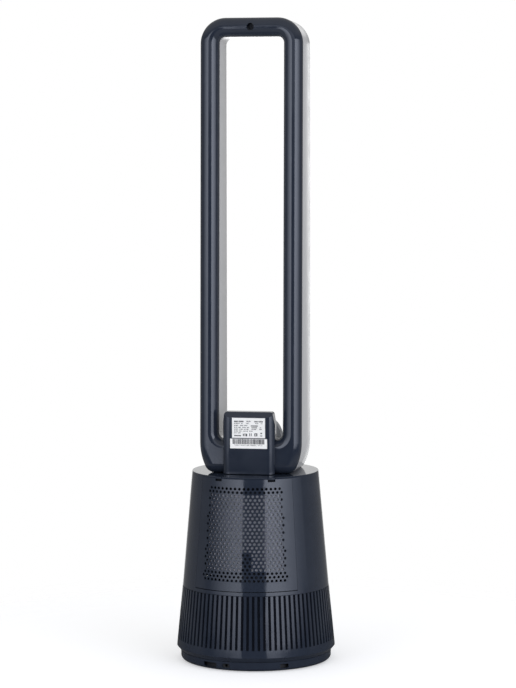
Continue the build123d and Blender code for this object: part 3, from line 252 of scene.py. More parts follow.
def screen_cloth():
    """Woven nylon dust screen: black threads that cross."""
    material, tree, shader = new_finish(
        "nylon_screen_cloth", roughness=0.8, specular_ior_level=0.2
    )
    coords = object_coords(tree)
    threads = [
        add_node(
            tree,
            "ShaderNodeTexWave",
            {"Vector": coords, "Scale": math.pi / (WAVE_UNITS * THREAD_PITCH)},
            bands_direction=direction,
        ).outputs["Fac"]
        for direction in ("Z", "DIAGONAL")
    ]
    weave = blend_values(tree, "MAXIMUM", *threads)
    tint = mix_colours(tree, weave, linear("#02050c"), linear("#0b111f"))
    tree.links.new(tint, shader.inputs["Base Color"])
    add_bump(tree, shader, weave, 0.1 * MM)
    return material


def black_cast_iron():
    """Cast iron under brushed black paint: low sheen, lumpy from the sand mould."""
    return surface(
        "painted_cast_iron", ("#131417", "#1b1c20"), 5 * MM, (0.45, 0.62), 1.6 * MM, 0.12 * MM
    )[0]


def die_cast_aluminium():
    """Motor bodies: die-cast aluminium, dull silver with soft flow clouds."""
    return surface(
        "die_cast_aluminium",
        ("#a9abad", "#97999c"),
        7 * MM,
        (0.42, 0.58),
        0.7 * MM,
        0.02 * MM,
        metallic=1.0,
    )[0]


def foam_seal():
    """Closed-cell foam strip: charcoal, with pores of about half a millimetre."""
    material, tree, shader = new_finish("foam_seal", roughness=0.95, specular_ior_level=0.2)
    coords = object_coords(tree)
    cells = add_node(tree, "ShaderNodeTexVoronoi", {"Vector": coords, "Scale": 1 / (0.5 * MM)})
    depth = cells.outputs["Distance"]
    tint = mix_colours(tree, depth, linear("#101114"), linear("#2a2b2f"))
    tree.links.new(tint, shader.inputs["Base Color"])
    add_bump(tree, shader, depth, 0.15 * MM)
    return material


def glass_filled_nylon():
    """Glass-filled nylon: cloudy, with short fibres that show as fine streaks."""
    material, tree, shader = new_finish("glass_filled_nylon")
    coords = object_coords(tree)
    fibres = mottled(tree, stretched(tree, coords, (0.5 * MM, 0.5 * MM, 4 * MM)), 1.0, 2.0)
    cloud = mottled(tree, coords, 7 * MM)
    both = blend_values(tree, "MULTIPLY", fibres, cloud)
    tint = mix_colours(tree, ramp(tree, both, 0.1, 0.4), linear("#cfcabb"), linear("#e8e5dc"))
    tree.links.new(tint, shader.inputs["Base Color"])
    tree.links.new(ramp(tree, fibres, *SPREAD, 0.38, 0.55), shader.inputs["Roughness"])
    add_bump(tree, shader, fibres, 0.01 * MM)
    return material


def acetal():
    """Acetal, as used for gears and slides: waxy white with a soft, even sheen."""
    return surface(
        "acetal",
        ("#e9e7e0", "#dfdcd2"),
        12 * MM,
        (0.30, 0.40),
        1.5 * MM,
        0.006 * MM,
        subsurface_weight=0.1,
        subsurface_scale=1.5 * MM,
    )[0]


def zinc_plated_steel():
    """Bright zinc on steel: blue-grey spangle in patches, with fine marks from drawing."""
    material, tree, shader = new_finish("zinc_plated_steel", metallic=1.0)
    coords = object_coords(tree)
    drawn = mottled(tree, stretched(tree, coords, (0.3 * MM, 0.3 * MM, 8 * MM)), 1.0, 2.0)
    spangle = add_node(tree, "ShaderNodeTexVoronoi", {"Vector": coords, "Scale": 1 / (2.5 * MM)})
    tint = mix_colours(
        tree,
        add_node(tree, "ShaderNodeSeparateColor", {0: spangle.outputs["Color"]}).outputs[0],
        linear("#a4a8ae"),
        linear("#bcc0c4"),
    )
    tree.links.new(tint, shader.inputs["Base Color"])
    tree.links.new(ramp(tree, drawn, *SPREAD, 0.24, 0.38), shader.inputs["Roughness"])
    add_bump(tree, shader, drawn, 0.004 * MM)
    return material


def black_oxide_steel():
    """Blackened steel screw: dark, slightly oily, with a little grey on its edges."""
    return surface(
        "black_oxide_steel",
        ("#15161a", "#202227"),
        1.5 * MM,
        (0.32, 0.50),
        0.4 * MM,
        0.006 * MM,
        metallic=0.7,
    )[0]


def silicone_rubber():
    """Rubber pads and seals: matt black, dulled by dust in fine patches."""
    return surface("rubber", ("#121316", "#1e1f22"), 3 * MM, (0.68, 0.85), 0.5 * MM, 0.02 * MM)[0]


def filter_fleece():
    """Spunbonded fleece over the filter's folds: matted fibres about a millimetre long,
    pressed together at a grid of small dots."""
    material, tree, shader = new_finish("polyester_fleece", roughness=0.95, sheen_weight=0.25)
    coords = object_coords(tree)
    thin = 0.25 * MM
    long = 2.5 * MM
    upright = mottled(tree, stretched(tree, coords, (thin, thin, long)), 1.0)
    lying = mottled(tree, stretched(tree, coords, (long, thin, thin)), 1.0)
    fibres = blend_values(tree, "MAXIMUM", upright, lying)
    dots = add_node(tree, "ShaderNodeTexVoronoi", {"Vector": coords, "Scale": 1 / (2.2 * MM)})
    pressed = ramp(tree, dots.outputs["Distance"], 0.1, 0.3)
    height = blend_values(tree, "MULTIPLY", fibres, pressed)
    tint = mix_colours(tree, ramp(tree, height, 0.2, 0.7), linear("#a9a9af"), linear("#c0c0c5"))
    tree.links.new(tint, shader.inputs["Base Color"])
    add_bump(tree, shader, height, 0.08 * MM)
    return material


def label_film(name, colours):
    """Printed polyester label: satin film, slightly uneven from the glue under it."""
    return surface(name, colours, 6 * MM, (0.42, 0.52), 5 * MM, 0.006 * MM, coat_weight=0.15)[0]


# Tone of dense ink as a share of the stated tone.
DENSE_INK = 0.85


def print_ink(name, tone):
    """Thermal or pad print: one tone, darker and duller where the film is dense."""
    tones = (round(int(tone[i : i + 2], 16) * DENSE_INK) for i in (1, 3, 5))
    dense = "#" + "".join(f"{value:02x}" for value in tones)
    return surface(name, (tone, dense), 0.6 * MM, (0.45, 0.6), 0.3 * MM, 0.002 * MM)[0]


def smoked_acrylic():
    """Tinted acrylic window: nearly black, mirror smooth."""
    return surface(
        "smoked_acrylic",
        ("#07080b", "#0b0c10"),
        20 * MM,
        (0.03, 0.05),
        14 * MM,
        0.004 * MM,
        ior=1.49,
    )[0]


def circuit_board():
    """Glass-epoxy board under green lacquer: tracks a millimetre apart and pale solder pads."""
    material, tree, shader = new_finish("circuit_board", roughness=0.32)
    coords = object_coords(tree)
    tracks = add_node(
        tree,
        "ShaderNodeTexBrick",
        {
            "Vector": coords,
            "Scale": 1.0,
            "Brick Width": 9 * MM,
            "Row Height": 1.6 * MM,
            "Mortar Size": 0.3 * MM,
            "Color1": linear("#1b4a34"),
            "Color2": linear("#205540"),
            "Mortar": linear("#123525"),
        },
    )
    pads = add_node(tree, "ShaderNodeTexVoronoi", {"Vector": coords, "Scale": 1 / (5 * MM)})
    spot = ramp(tree, pads.outputs["Distance"], 0.12, 0.16, 1.0, 0.0)
    tint = mix_colours(tree, spot, tracks.outputs["Color"], linear("#b9bcbe"))
    tree.links.new(tint, shader.inputs["Base Color"])
    add_bump(tree, shader, tracks.outputs["Fac"], 0.03 * MM)
    return material


def clothe(material, *nodes):
    """Gives CAD nodes their finish."""
    for name in nodes:
        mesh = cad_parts[name].data
        mesh.materials.clear()
        mesh.materials.append(material)


class FanFinish(bpy.types.PropertyGroup):
    """Colours of the fan."""

    body: StringProperty(name="Body", description="Casing colour", default="#242a35")
    body_haze: StringProperty(
        name="Body haze", description="Casing colour in its duller patches", default="#272d38"
    )
    front: StringProperty(name="Front", description="Front shell colour", default="#c6c5c4")
    front_haze: StringProperty(
        name="Front haze", description="Front shell colour in duller patches", default="#c2c1c0"
    )
    front_bow: FloatProperty(
        name="Front bow",
        description="Slope that the front shell's sides turn by, rear to front",
        default=0.1,
        min=0.0,
        max=1.0,
        subtype="FACTOR",
    )
    # Painted shade: the latch arms below their grips, down in their slot, are coloured nearly
    # black for the shade there.
    recess_shade: StringProperty(
        name="Recess", description="Colour of the latch arms under their grips", default="#05080e"
    )
    panel: StringProperty(name="Panel", description="Panel housing colour", default="#b4b8bd")
    panel_haze: StringProperty(
        name="Panel haze", description="Panel housing colour in its patches", default="#aeb2b8"
    )


class FanStudio(bpy.types.PropertyGroup):
    """Camera and light of the studio."""

    distance: FloatProperty(
        name="Distance", description="Camera to the fan's axis", default=4.0, unit="LENGTH"
    )
    height: FloatProperty(
        name="Height", description="Camera above the floor", default=0.8132, unit="LENGTH"
    )
    turn: FloatProperty(
        name="Turn",
        description="Camera's turn round the fan from straight behind",
        default=math.radians(10.232),
        subtype="ANGLE",
    )
    focal_px: FloatProperty(
        name="Focal length",
        description="Focal length in pixels of the photo",
        default=FOCAL_PX,
        subtype="PIXEL",
    )


# Roughness of the glossy plastics, least and most.
GLOSS = (0.08, 0.13)
LIGHT_GLOSS = (0.10, 0.16)
POLISH = (0.04, 0.06)


class FAN_OT_finishes(bpy.types.Operator):
    """Gives the fan's moulded, metal, rubber and paper parts their finishes"""

    bl_idname = "fan.finishes"
    bl_label = "Finishes"

    def execute(self, context):
        looks = context.scene.fan_finish
        body = (looks.body, looks.body_haze)
        navy = gloss_abs("gloss_abs_navy", body, GLOSS)[0]
        deck = gloss_abs("polished_abs_navy", body, POLISH)[0]
        latch, tree, shader = gloss_abs("gloss_abs_latch", body, GLOSS)
        # Below their grips the latch arms get a painted shade, for the shade in their slot.
        grip_bottom = 2 * context.scene.fan_latches.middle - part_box("cover_latch_left")[1][2]
        shade_and_dull_below(tree, shader, grip_bottom, looks.recess_shade)
        front, tree, shader = gloss_abs(
            "gloss_abs_light", (looks.front, looks.front_haze), LIGHT_GLOSS
        )
        bow_sides(tree, shader, "loop_front_shell", looks.front_bow)
        pod = satin_abs("satin_abs_grey", (looks.panel, looks.panel_haze))
        casing = satin_abs("satin_abs_dark", ("#4a4d53", "#53565c"))
        black = black_polypropylene()
        clothe(navy, "base_plate", "intake_ring", "base_shell", "rear_cover")
        clothe(navy, "neck_cover", "loop_rear_shell")
        clothe(latch, "cover_latch_left", "cover_latch_right")
        clothe(deck, "top_deck")
        clothe(front, "loop_front_shell")
        clothe(pod, "control_pod")
        clothe(black, "swivel_floor", *BUTTONS)
        clothe(matt_black_moulding(), "filter_frame", "filter_pull_tab")
        clothe(screen_cloth(), "intake_screen")
        clothe(smoked_acrylic(), "display_window")
        clothe(casing, "fan_housing", "inlet_bell", "motor_bucket", "bucket_cap", "air_duct")
        clothe(casing, "air_guide")
        clothe(filter_fleece(), "filter_pad")
        clothe(label_film("satin_label_film", ("#f6f4ef", "#f1efe9")), "rating_plate")
        clothe(label_film("white_label_film", ("#fbf9f4", "#f6f4ee")), "code_plate")
        clothe(silicone_rubber(), "foot_pads", "cord_gland", "isolation_mounts")
        clothe(foam_seal(), "duct_gasket")
        clothe(black_cast_iron(), "ballast_ring")
        clothe(die_cast_aluminium(), "fan_motor", "swing_motor")
        clothe(acetal(), "slide_ring", "ring_gear", "drive_pinion")
        clothe(glass_filled_nylon(), "impeller")
        clothe(
            zinc_plated_steel(),
            "gear_screws",
            "hub_retainer",
            "hub_screws",
            "floor_screws",
            "motor_bearings",
            "motor_shaft",
        )
        clothe(black_oxide_steel(), "loop_screw", "support_posts")
        clothe(circuit_board(), "power_board", "control_board")
        return {"FINISHED"}


# ------------------------------------------------------------------ modelling helpers
def pick(piece, wanted):
    """In edit mode, selects the faces whose centre passes a test, and no others."""
    mesh = bmesh.from_edit_mesh(piece.data)
    for face in mesh.faces:
        face.select_set(False)
    for face in mesh.faces:
        if wanted(face.calc_center_median()):
            face.select_set(True)
    bmesh.update_edit_mesh(piece.data)


def thicken(piece, thickness):
    """Gives a flat piece that lies across Y its thickness, to the side that the sign says.
    Solidify puts the faces in the same order each run, and extrude doesn't."""
    bpy.ops.object.select_all(action="DESELECT")
    piece.select_set(True)
    bpy.context.view_layer.objects.active = piece
    solid = piece.modifiers.new("thickness", "SOLIDIFY")
    solid.thickness = abs(thickness)
    solid.offset = 0
    bpy.ops.object.modifier_apply(modifier="thickness")
    piece.data.transform(Matrix.Translation((0, thickness / 2, 0)))
    bpy.ops.object.mode_set(mode="EDIT")
    bpy.ops.mesh.select_all(action="SELECT")
    bpy.ops.mesh.normals_make_consistent(inside=False)
    bpy.ops.object.mode_set(mode="OBJECT")
    return piece


def cell_print(name, middle, size, cell, wanted, thickness):
    """Print made of square cells on a face that looks rearwards. The test is given each cell's
    column and row from the top left corner as the eye sees it."""
    columns, rows = (round(side / cell) for side in size)
    bpy.ops.object.select_all(action="DESELECT")
    bpy.ops.mesh.primitive_grid_add(
        x_subdivisions=columns,
        y_subdivisions=rows,
        size=1,
        location=middle,
        rotation=(math.radians(-90), 0, 0),
    )
    piece = bpy.context.object
    piece.scale = (size[0], size[1], 1)
    bpy.ops.object.transform_apply()
    left = middle[0] + size[0] / 2
    top = middle[2] + size[1] / 2
    bpy.ops.object.mode_set(mode="EDIT")
    bpy.ops.mesh.select_mode(type="FACE")
    pick(piece, lambda at: not wanted(int((left - at.x) / cell), int((top - at.z) / cell)))
    bpy.ops.mesh.delete(type="FACE")
    bpy.ops.object.mode_set(mode="OBJECT")
    thicken(piece, thickness)
    bpy.ops.object.mode_set(mode="EDIT")
    bpy.ops.mesh.dissolve_limited(angle_limit=math.radians(1))
    bpy.ops.object.mode_set(mode="OBJECT")
    piece.name = name
    return piece


def own_copy(source, name, matrix):
    """A copy with its own mesh, moved into place inside that mesh."""
    piece = source.copy()
    piece.data = source.data.copy()
    piece.name = name
    bpy.context.scene.collection.objects.link(piece)
    piece.data.transform(matrix)
    return piece


def join_all(pieces, name):
    """Joins pieces into one object."""
    bpy.ops.object.select_all(action="DESELECT")
    for piece in pieces:
        piece.select_set(True)
    bpy.context.view_layer.objects.active = pieces[0]
    bpy.ops.object.join()
    pieces[0].name = name
    return pieces[0]


def finish_piece(piece, body, material):
    """Clothes a piece and lets it ride on its body."""
    piece.data.materials.clear()
    piece.data.materials.append(material)
    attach(piece, body)


# ------------------------------------------------------------------ label print
# Each line of the rating label's small print: distance of its top from the plate's top, its
# height, the share of its cells that are inked, and the spans of its words, in millimetres.
PRINT_ROWS = (
    (4.1, 2.1, 1.00, ((3.0, 9.0), (10.0, 17.5))),
    (4.1, 1.8, 0.70, ((21.5, 28.5),)),
    (4.1, 2.1, 0.90, ((33.5, 39.0), (40.0, 46.5))),
    (7.4, 1.4, 0.75, ((3.0, 11.5), (13.0, 16.0), (21.0, 25.5), (35.0, 39.5), (43.5, 46.0))),
    (10.4, 1.4, 0.80, ((3.0, 9.5), (11.5, 16.5), (18.0, 23.0))),
    (10.8, 1.8, 1.00, ((28.5, 38.8),)),
    (13.2, 1.4, 0.80, ((3.0, 8.0), (9.0, 13.5), (15.0, 21.0), (22.5, 26.0))),
    (13.6, 1.4, 1.00, ((29.3, 38.3), (42.0, 43.8))),
    (16.0, 1.4, 0.75, ((3.0, 9.0), (11.0, 16.0), (18.0, 25.0), (29.0, 36.8), (40.5, 44.3))),
    (18.8, 1.4, 0.75, ((3.0, 9.0), (10.5, 14.5), (16.5, 24.0), (26.0, 31.0))),
    (21.6, 1.4, 0.70, ((3.0, 7.0), (8.5, 13.0))),
    (25.6, 1.6, 1.00, ((3.0, 13.5),)),
)
# Plain blocks in the place of small symbols: left, top, width and height in millimetres.
PRINT_BLOCKS = (
    (16.4, 23.6, 1.4, 3.4),
    (18.9, 22.8, 1.2, 4.0),
    (20.8, 23.6, 2.0, 3.6),
    (25.8, 22.6, 1.0, 4.4),
    (28.2, 22.6, 1.2, 4.4),
    (33.5, 22.9, 4.6, 1.1),
    (33.5, 25.9, 4.6, 1.1),
    (33.5, 22.9, 1.3, 4.1),
    (36.8, 22.9, 1.3, 4.1),
    (42.6, 21.8, 2.4, 1.7),
    (42.2, 25.9, 3.4, 1.1),
)
# Widths of the bars and gaps of the code label in cells, bar first. They spell nothing.
BAR_WIDTHS = (
    (3, 1, 3, 1, 1, 1, 1, 1, 1, 1, 2, 1, 1, 1, 3, 1, 2, 1, 3, 1, 1, 1, 1, 1, 3, 1, 2, 1, 2, 1)
    + (3, 1, 1, 1, 2, 1, 2, 1, 2, 1, 1, 1, 1, 1, 1, 1, 2, 1, 3, 2, 3, 1, 4, 1, 2, 1, 2, 1, 2, 1)
    + (2, 1, 4, 1, 4, 1, 1, 1, 3, 1, 3)
)
# Small print: the fourth column of each five is bare, and a line has four levels.
LETTER_STEP = 5
LETTER_GAP = 3
LETTER_LEVELS = 4
# Ticks under the bars: three cells in each five, some cells inside the bars' ends, between two
# distances below them, with this share of their cells inked.
TICK_STEP = 5
TICK_WIDTH = 3
TICK_INSET = 6
TICK_FROM = 1.0 * MM
TICK_TO = 2.6 * MM
TICK_SHARE = 0.6


def scattered(column, row):
    """Repeatable number from 0 to 1 for a cell, from three multipliers and a prime."""
    return (column * 73 + row * 151 + column * row * 37) % 101 / 101


class FanLabels(bpy.types.PropertyGroup):
    """Print on the two labels."""

    cell: FloatProperty(
        name="Cell", description="Side of the smallest mark", default=0.35 * MM, unit="LENGTH"
    )
    ink_height: FloatProperty(
        name="Ink height", description="How far ink stands proud", default=0.03 * MM, unit="LENGTH"
    )
    bar_cell: FloatProperty(
        name="Bar", description="Width of the narrowest bar", default=0.42 * MM, unit="LENGTH"
    )
    bar_top: FloatProperty(
        name="Bar top", description="Bars below the plate's top", default=0.6 * MM, unit="LENGTH"
    )
    bar_height: FloatProperty(
        name="Bar height", description="Height of the bars", default=7.4 * MM, unit="LENGTH"
    )
    ink: StringProperty(name="Ink", description="Colour of the small print", default="#26262b")
    bar_ink: StringProperty(name="Bar ink", description="Colour of the bars", default="#34343a")


def plate_face(node):
    """Middle of a plate's rear face, and its width and height."""
    low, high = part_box(node)
    middle = ((low[0] + high[0]) / 2, high[1], (low[2] + high[2]) / 2)
    return middle, (high[0] - low[0], high[2] - low[2])


def in_print_row(across, down, column):
    """Whether a place on the rating label, in millimetres from its corner, holds ink."""
    for left, top, width, height in PRINT_BLOCKS:
        if left <= across < left + width and top <= down < top + height:
            return True
    for top, height, share, words in PRINT_ROWS:
        if not top <= down < top + height:
            continue
        level = int((down - top) / height * LETTER_LEVELS)
        for first, last in words:
            if first <= across < last and column % LETTER_STEP != LETTER_GAP:
                return scattered(column, level) < share
    return False


class FAN_OT_rating_print(bpy.types.Operator):
    """Prints rows of plain small marks on the rating label"""

    bl_idname = "fan.rating_print"
    bl_label = "Rating label print"

    def execute(self, context):
        labels = context.scene.fan_labels
        middle, size = plate_face("rating_plate")
        step = labels.cell / MM

        def inked(column, row):
            return in_print_row((column + 0.5) * step, (row + 0.5) * step, column)

        piece = cell_print("rating_print", middle, size, labels.cell, inked, labels.ink_height)
        finish_piece(piece, "tower", print_ink("thermal_ink", labels.ink))
        return {"FINISHED"}


class FAN_OT_code_print(bpy.types.Operator):
    """Prints plain bars of unequal widths and a row of ticks on the lower label"""

    bl_idname = "fan.code_print"
    bl_label = "Code label print"

    def execute(self, context):
        labels = context.scene.fan_labels
        middle, size = plate_face("code_plate")
        total = sum(BAR_WIDTHS)
        margin = (round(size[0] / labels.bar_cell) - total) // 2
        barred = set()
        at = margin
        for place, width in enumerate(BAR_WIDTHS):
            if place % 2 == 0:
                barred.update(range(at, at + width))
            at += width

        def inked(column, row):
            down = (row + 0.5) * labels.bar_cell
            if labels.bar_top <= down < labels.bar_top + labels.bar_height:
                return column in barred
            if not margin + TICK_INSET <= column < margin + total - TICK_INSET:
                return False
            below = down - labels.bar_top - labels.bar_height
            tick = column % TICK_STEP < TICK_WIDTH and TICK_FROM <= below < TICK_TO
            return tick and scattered(column, row) < TICK_SHARE

        piece = cell_print("code_print", middle, size, labels.bar_cell, inked, labels.ink_height)
        finish_piece(piece, "tower", print_ink("bar_ink", labels.bar_ink))
        return {"FINISHED"}


# ------------------------------------------------------------------ latches
# A rib's width as a share of the pitch, and its rounding as a share of its height.
RIB_WIDTH = 0.6
RIB_ROUNDING = 0.7


class FanLatches(bpy.types.PropertyGroup):
    """Grip ribs on the rear cover's latches."""

    ribs: IntProperty(name="Ribs", description="Ribs on each latch", default=3, min=1)
    pitch: FloatProperty(
        name="Pitch", description="Distance between ribs", default=0.95 * MM, unit="LENGTH"
    )
    height: FloatProperty(
        name="Height", description="How far a rib stands proud", default=0.3 * MM, unit="LENGTH"
    )
    margin: FloatProperty(
        name="Margin", description="Bare width at each end", default=1.0 * MM, unit="LENGTH"
    )
    angle: FloatProperty(
        name="Angle",
        description="Latch's place round the cover, 24.6 degrees",
        default=0.42935,
        subtype="ANGLE",
    )
    face: FloatProperty(
        name="Face", description="Latch face from the axis", default=95.5 * MM, unit="LENGTH"
    )
    width: FloatProperty(
        name="Width", description="Width of a latch", default=10.6 * MM, unit="LENGTH"
    )
    middle: FloatProperty(
        name="Middle", description="Height of a latch's middle", default=284.2 * MM, unit="LENGTH"
    )


class FAN_OT_latch_ribs(bpy.types.Operator):
    """Adds rounded grip ribs to both latches"""

    bl_idname = "fan.latch_ribs"
    bl_label = "Latch ribs"

    def execute(self, context):
        sizes = context.scene.fan_latches
        material = bpy.data.materials["gloss_abs_navy"]
        bpy.ops.object.select_all(action="DESELECT")
        at = (0, sizes.face, sizes.middle)
        bpy.ops.mesh.primitive_cube_add(size=1, calc_uvs=False, location=at)
        rib = context.object
        rib.scale = (sizes.width - 2 * sizes.margin, 2 * sizes.height, sizes.pitch * RIB_WIDTH)
        bpy.ops.object.transform_apply()
        bpy.ops.object.mode_set(mode="EDIT")
        bpy.ops.mesh.select_all(action="SELECT")
        bpy.ops.mesh.bevel(offset=sizes.height * RIB_ROUNDING, segments=3, affect="EDGES")
        bpy.ops.object.mode_set(mode="OBJECT")
        stack = rib.modifiers.new("stack", "ARRAY")
        stack.count = sizes.ribs
        stack.use_relative_offset = False
        stack.use_constant_offset = True
        stack.constant_offset_displace = (0, 0, sizes.pitch)
        bpy.ops.object.modifier_apply(modifier="stack")
        rib.data.transform(Matrix.Translation((0, 0, -sizes.pitch * (sizes.ribs - 1) / 2)))
        bpy.ops.object.shade_smooth_by_angle(angle=math.radians(30))
        for side in ("left", "right"):
            low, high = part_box("cover_latch_" + side)
            turn = math.copysign(sizes.angle, -(low[0] + high[0]))
            piece = own_copy(rib, "latch_ribs_" + side, Matrix.Rotation(turn, 4, "Z"))
            finish_piece(piece, "cover_latch_" + side, material)
        bpy.data.objects.remove(rib)
        return {"FINISHED"}


# ------------------------------------------------------------------ controls
class FanControls(bpy.types.PropertyGroup):
    """Marks on the buttons and the display."""

    radius: FloatProperty(
        name="Radius", description="Outside of a button's mark", default=1.9 * MM, unit="LENGTH"
    )
    line: FloatProperty(
        name="Line", description="Width of the marks' lines", default=0.35 * MM, unit="LENGTH"
    )
    height: FloatProperty(
        name="Height", description="How far marks stand proud", default=0.04 * MM, unit="LENGTH"
    )
    digit: FloatProperty(
        name="Digit", description="Height of a display figure", default=4.0 * MM, unit="LENGTH"
    )
    mark: StringProperty(name="Mark", description="Colour of the button marks", default="#c9ccd0")
    unlit: StringProperty(
        name="Unlit", description="Colour of the figures when off", default="#24262b"
    )


def add_arc(inner, outer, centre, gap):
    """Flat ring that looks forwards, open at the top up to an angle on each side, in degrees."""
    bpy.ops.object.select_all(action="DESELECT")
    bpy.ops.mesh.primitive_circle_add(
        vertices=60, radius=outer, location=centre, rotation=(math.radians(90), 0, 0)
    )
    ring = bpy.context.object
    bpy.ops.object.transform_apply()
    bpy.ops.object.mode_set(mode="EDIT")
    bpy.ops.mesh.select_mode(type="EDGE")
    bpy.ops.mesh.select_all(action="SELECT")
    bpy.ops.mesh.extrude_edges_move()
    shrink = inner / outer
    bpy.ops.transform.resize(value=(shrink, 1, shrink), center_override=centre)
    bpy.ops.mesh.select_mode(type="FACE")

    def in_gap(at):
        return abs(math.degrees(math.atan2(at.x - centre[0], at.z - centre[2]))) < gap

    pick(ring, in_gap)
    bpy.ops.mesh.delete(type="FACE")
    bpy.ops.mesh.select_all(action="SELECT")
    bpy.ops.mesh.sort_elements(type="CURSOR_DISTANCE", elements={"VERT", "EDGE", "FACE"})
    bpy.ops.object.mode_set(mode="OBJECT")
    return ring


# How much of a flat bar's narrower side its cut corners take.
CORNER_CUT = 0.45


def add_bar(centre, width, height, turn=0.0):
    """Flat bar that looks forwards, with its corners cut."""
    bpy.ops.object.select_all(action="DESELECT")
    bpy.ops.mesh.primitive_plane_add(
        size=1, location=centre, rotation=(math.radians(90), turn, 0)
    )
    bar = bpy.context.object
    bar.scale = (width, height, 1)
    bpy.ops.object.transform_apply()
    bpy.ops.object.mode_set(mode="EDIT")
    bpy.ops.mesh.select_all(action="SELECT")
    bpy.ops.mesh.bevel(offset=CORNER_CUT * min(width, height), segments=2, affect="VERTICES")
    bpy.ops.object.mode_set(mode="OBJECT")
    return bar


def front_face(node):
    """Middle of a node's front face."""
    low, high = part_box(node)
    return Vector(((low[0] + high[0]) / 2, low[1], (low[2] + high[2]) / 2))


# Half of the gap in the power and swing marks' rings, in degrees.
POWER_GAP = 28
SWING_GAP = 55
# Height of the middle and length of the stems, as shares of a mark's radius.
POWER_STEM = (0.75, 0.9)
SWING_STEM = (0.15, 1.0)
# The three speed bars: distance apart in widths of a line, and as shares of the radius the
# middle bar's length, how much longer each next one is, and how much higher its middle lies.
BAR_STEP = 2.4
BAR_LENGTH = 1.1
BAR_GROWTH = 0.32
BAR_RISE = 0.16
# Heads of the swing arrow, as shares of the radius: distance aside, height and length. And
# their slope in degrees.
HEAD_ASIDE = 0.62
HEAD_RISE = 0.5
HEAD_LENGTH = 0.7
HEAD_SLOPE = 20


class FAN_OT_button_marks(bpy.types.Operator):
    """Prints a plain symbol on each button: on and off, speed, and swing"""

    bl_idname = "fan.button_marks"
    bl_label = "Button marks"

    def execute(self, context):
        looks = context.scene.fan_controls
        outer = looks.radius
        line = looks.line
        ink = print_ink("pale_ink", looks.mark)
        centre = front_face("power_button")
        ring = add_arc(outer - line, outer, centre, POWER_GAP)
        rise, length = POWER_STEM
        stem = add_bar(centre + Vector((0, 0, rise * outer)), line, length * outer)
        power = join_all([ring, stem], "power_mark")
        centre = front_face("speed_button")
        bars = [
            add_bar(
                centre + Vector((step * BAR_STEP * line, 0, (step - 1) * BAR_RISE * outer)),
                line,
                (BAR_LENGTH + BAR_GROWTH * step) * outer,
            )
            for step in (-1, 0, 1)
        ]
        speed = join_all(bars, "speed_mark")
        centre = front_face("swing_button")
        sweep = add_arc(outer - line, outer, centre, SWING_GAP)
        rise, length = SWING_STEM
        stem = add_bar(centre + Vector((0, 0, rise * outer)), line, length * outer)
        heads = [
            add_bar(
                centre + Vector((side * HEAD_ASIDE * outer, 0, HEAD_RISE * outer)),
                HEAD_LENGTH * outer,
                line,
                side * math.radians(HEAD_SLOPE),
            )
            for side in (-1, 1)
        ]
        swing = join_all([sweep, stem] + heads, "swing_mark")
        for body, piece in zip(BUTTONS, (power, speed, swing)):
            finish_piece(thicken(piece, -looks.height), body, ink)
        return {"FINISHED"}


# Segments of a figure: across, up and whether it lies flat, in halves of the figure's size.
SEGMENTS = (
    (0, 1, True),
    (0, 0, True),
    (0, -1, True),
    (-1, 0.5, False),
    (1, 0.5, False),
    (-1, -0.5, False),
    (1, -0.5, False),
)
# Width of a figure as a share of its height, how much closer its segments and the figures
# stand, and a segment's thickness and bare ends as shares of the height and the thickness.
FIGURE_WIDTH = 0.52
SEGMENT_REACH = 0.9
FIGURE_REACH = 0.95
SEGMENT_LINE = 0.13
SEGMENT_GAP = 0.9
# Lamps at each side, the nearest and the step to the next in heights of a figure, and their
# width and height in those of a segment.
LAMPS = 3
LAMP_FROM = 1.8
LAMP_STEP = 0.6
LAMP_SIZE = (0.45, 1.6)


class FAN_OT_display_figures(bpy.types.Operator):
    """Draws two unlit seven-segment figures and a row of lamps behind the display"""

    bl_idname = "fan.display_figures"
    bl_label = "Display figures"

    def execute(self, context):
        looks = context.scene.fan_controls
        centre = front_face("display_window")
        half = looks.digit / 2
        across = half * FIGURE_WIDTH
        thick = looks.digit * SEGMENT_LINE
        bar = add_bar(Vector((0, centre.y, 0)), half - SEGMENT_GAP * thick, thick)
        lying = thicken(bar, -looks.height)
        middle = Matrix.Translation((centre.x, 0, centre.z))
        upright = Matrix.Rotation(math.radians(90), 4, "Y")
        wide = Matrix.Diagonal((2 * across / half, 1, 1, 1))
        parts = []
        for figure in (-1, 1):
            for column, row, flat in SEGMENTS:
                aside = figure * half * FIGURE_REACH + column * across
                move = middle @ Matrix.Translation((aside, 0, row * half * SEGMENT_REACH))
                parts.append(own_copy(lying, "segment", move @ (wide if flat else upright)))
        spot = Matrix.Diagonal((LAMP_SIZE[0], 1, LAMP_SIZE[1], 1))
        for side in (-1, 1):
            for lamp in range(LAMPS):
                aside = side * (LAMP_FROM + LAMP_STEP * lamp) * looks.digit
                move = middle @ Matrix.Translation((aside, 0, 0))
                parts.append(own_copy(lying, "segment", move @ spot))
        bpy.data.objects.remove(lying)
        piece = join_all(parts, "display_figures")
        finish_piece(piece, "tower", print_ink("unlit_segments", looks.unlit))
        return {"FINISHED"}


# ------------------------------------------------------------------ studio
def look_along(location, forward, roll, turn):
    """Camera matrix from a place and a direction, rolled and then turned a little aside."""
    back = -forward.normalized()
    right = Vector((0, 0, 1)).cross(back).normalized()
    up = back.cross(right)
    axes = Matrix((right, up, back)).transposed()
    axes = axes @ Matrix.Rotation(turn, 3, "Y") @ Matrix.Rotation(roll, 3, "Z")
    return Matrix.Translation(location) @ axes.to_4x4()


CAMERA_PITCH = math.radians(4.829)
CAMERA_ROLL = math.radians(-0.194)
CAMERA_YAW = math.atan(AXIS_SHIFT_PX / FOCAL_PX)
SENSOR_MM = 36.0
# The floor fades out between two radii. It glows to the camera, and less in a glossy surface,
# so that it runs out into the white.
FLOOR_FADE = 0.40
FLOOR_RADIUS = 0.75
FLOOR_GLOW = 0.42
MIRRORED_GLOW = 0.1
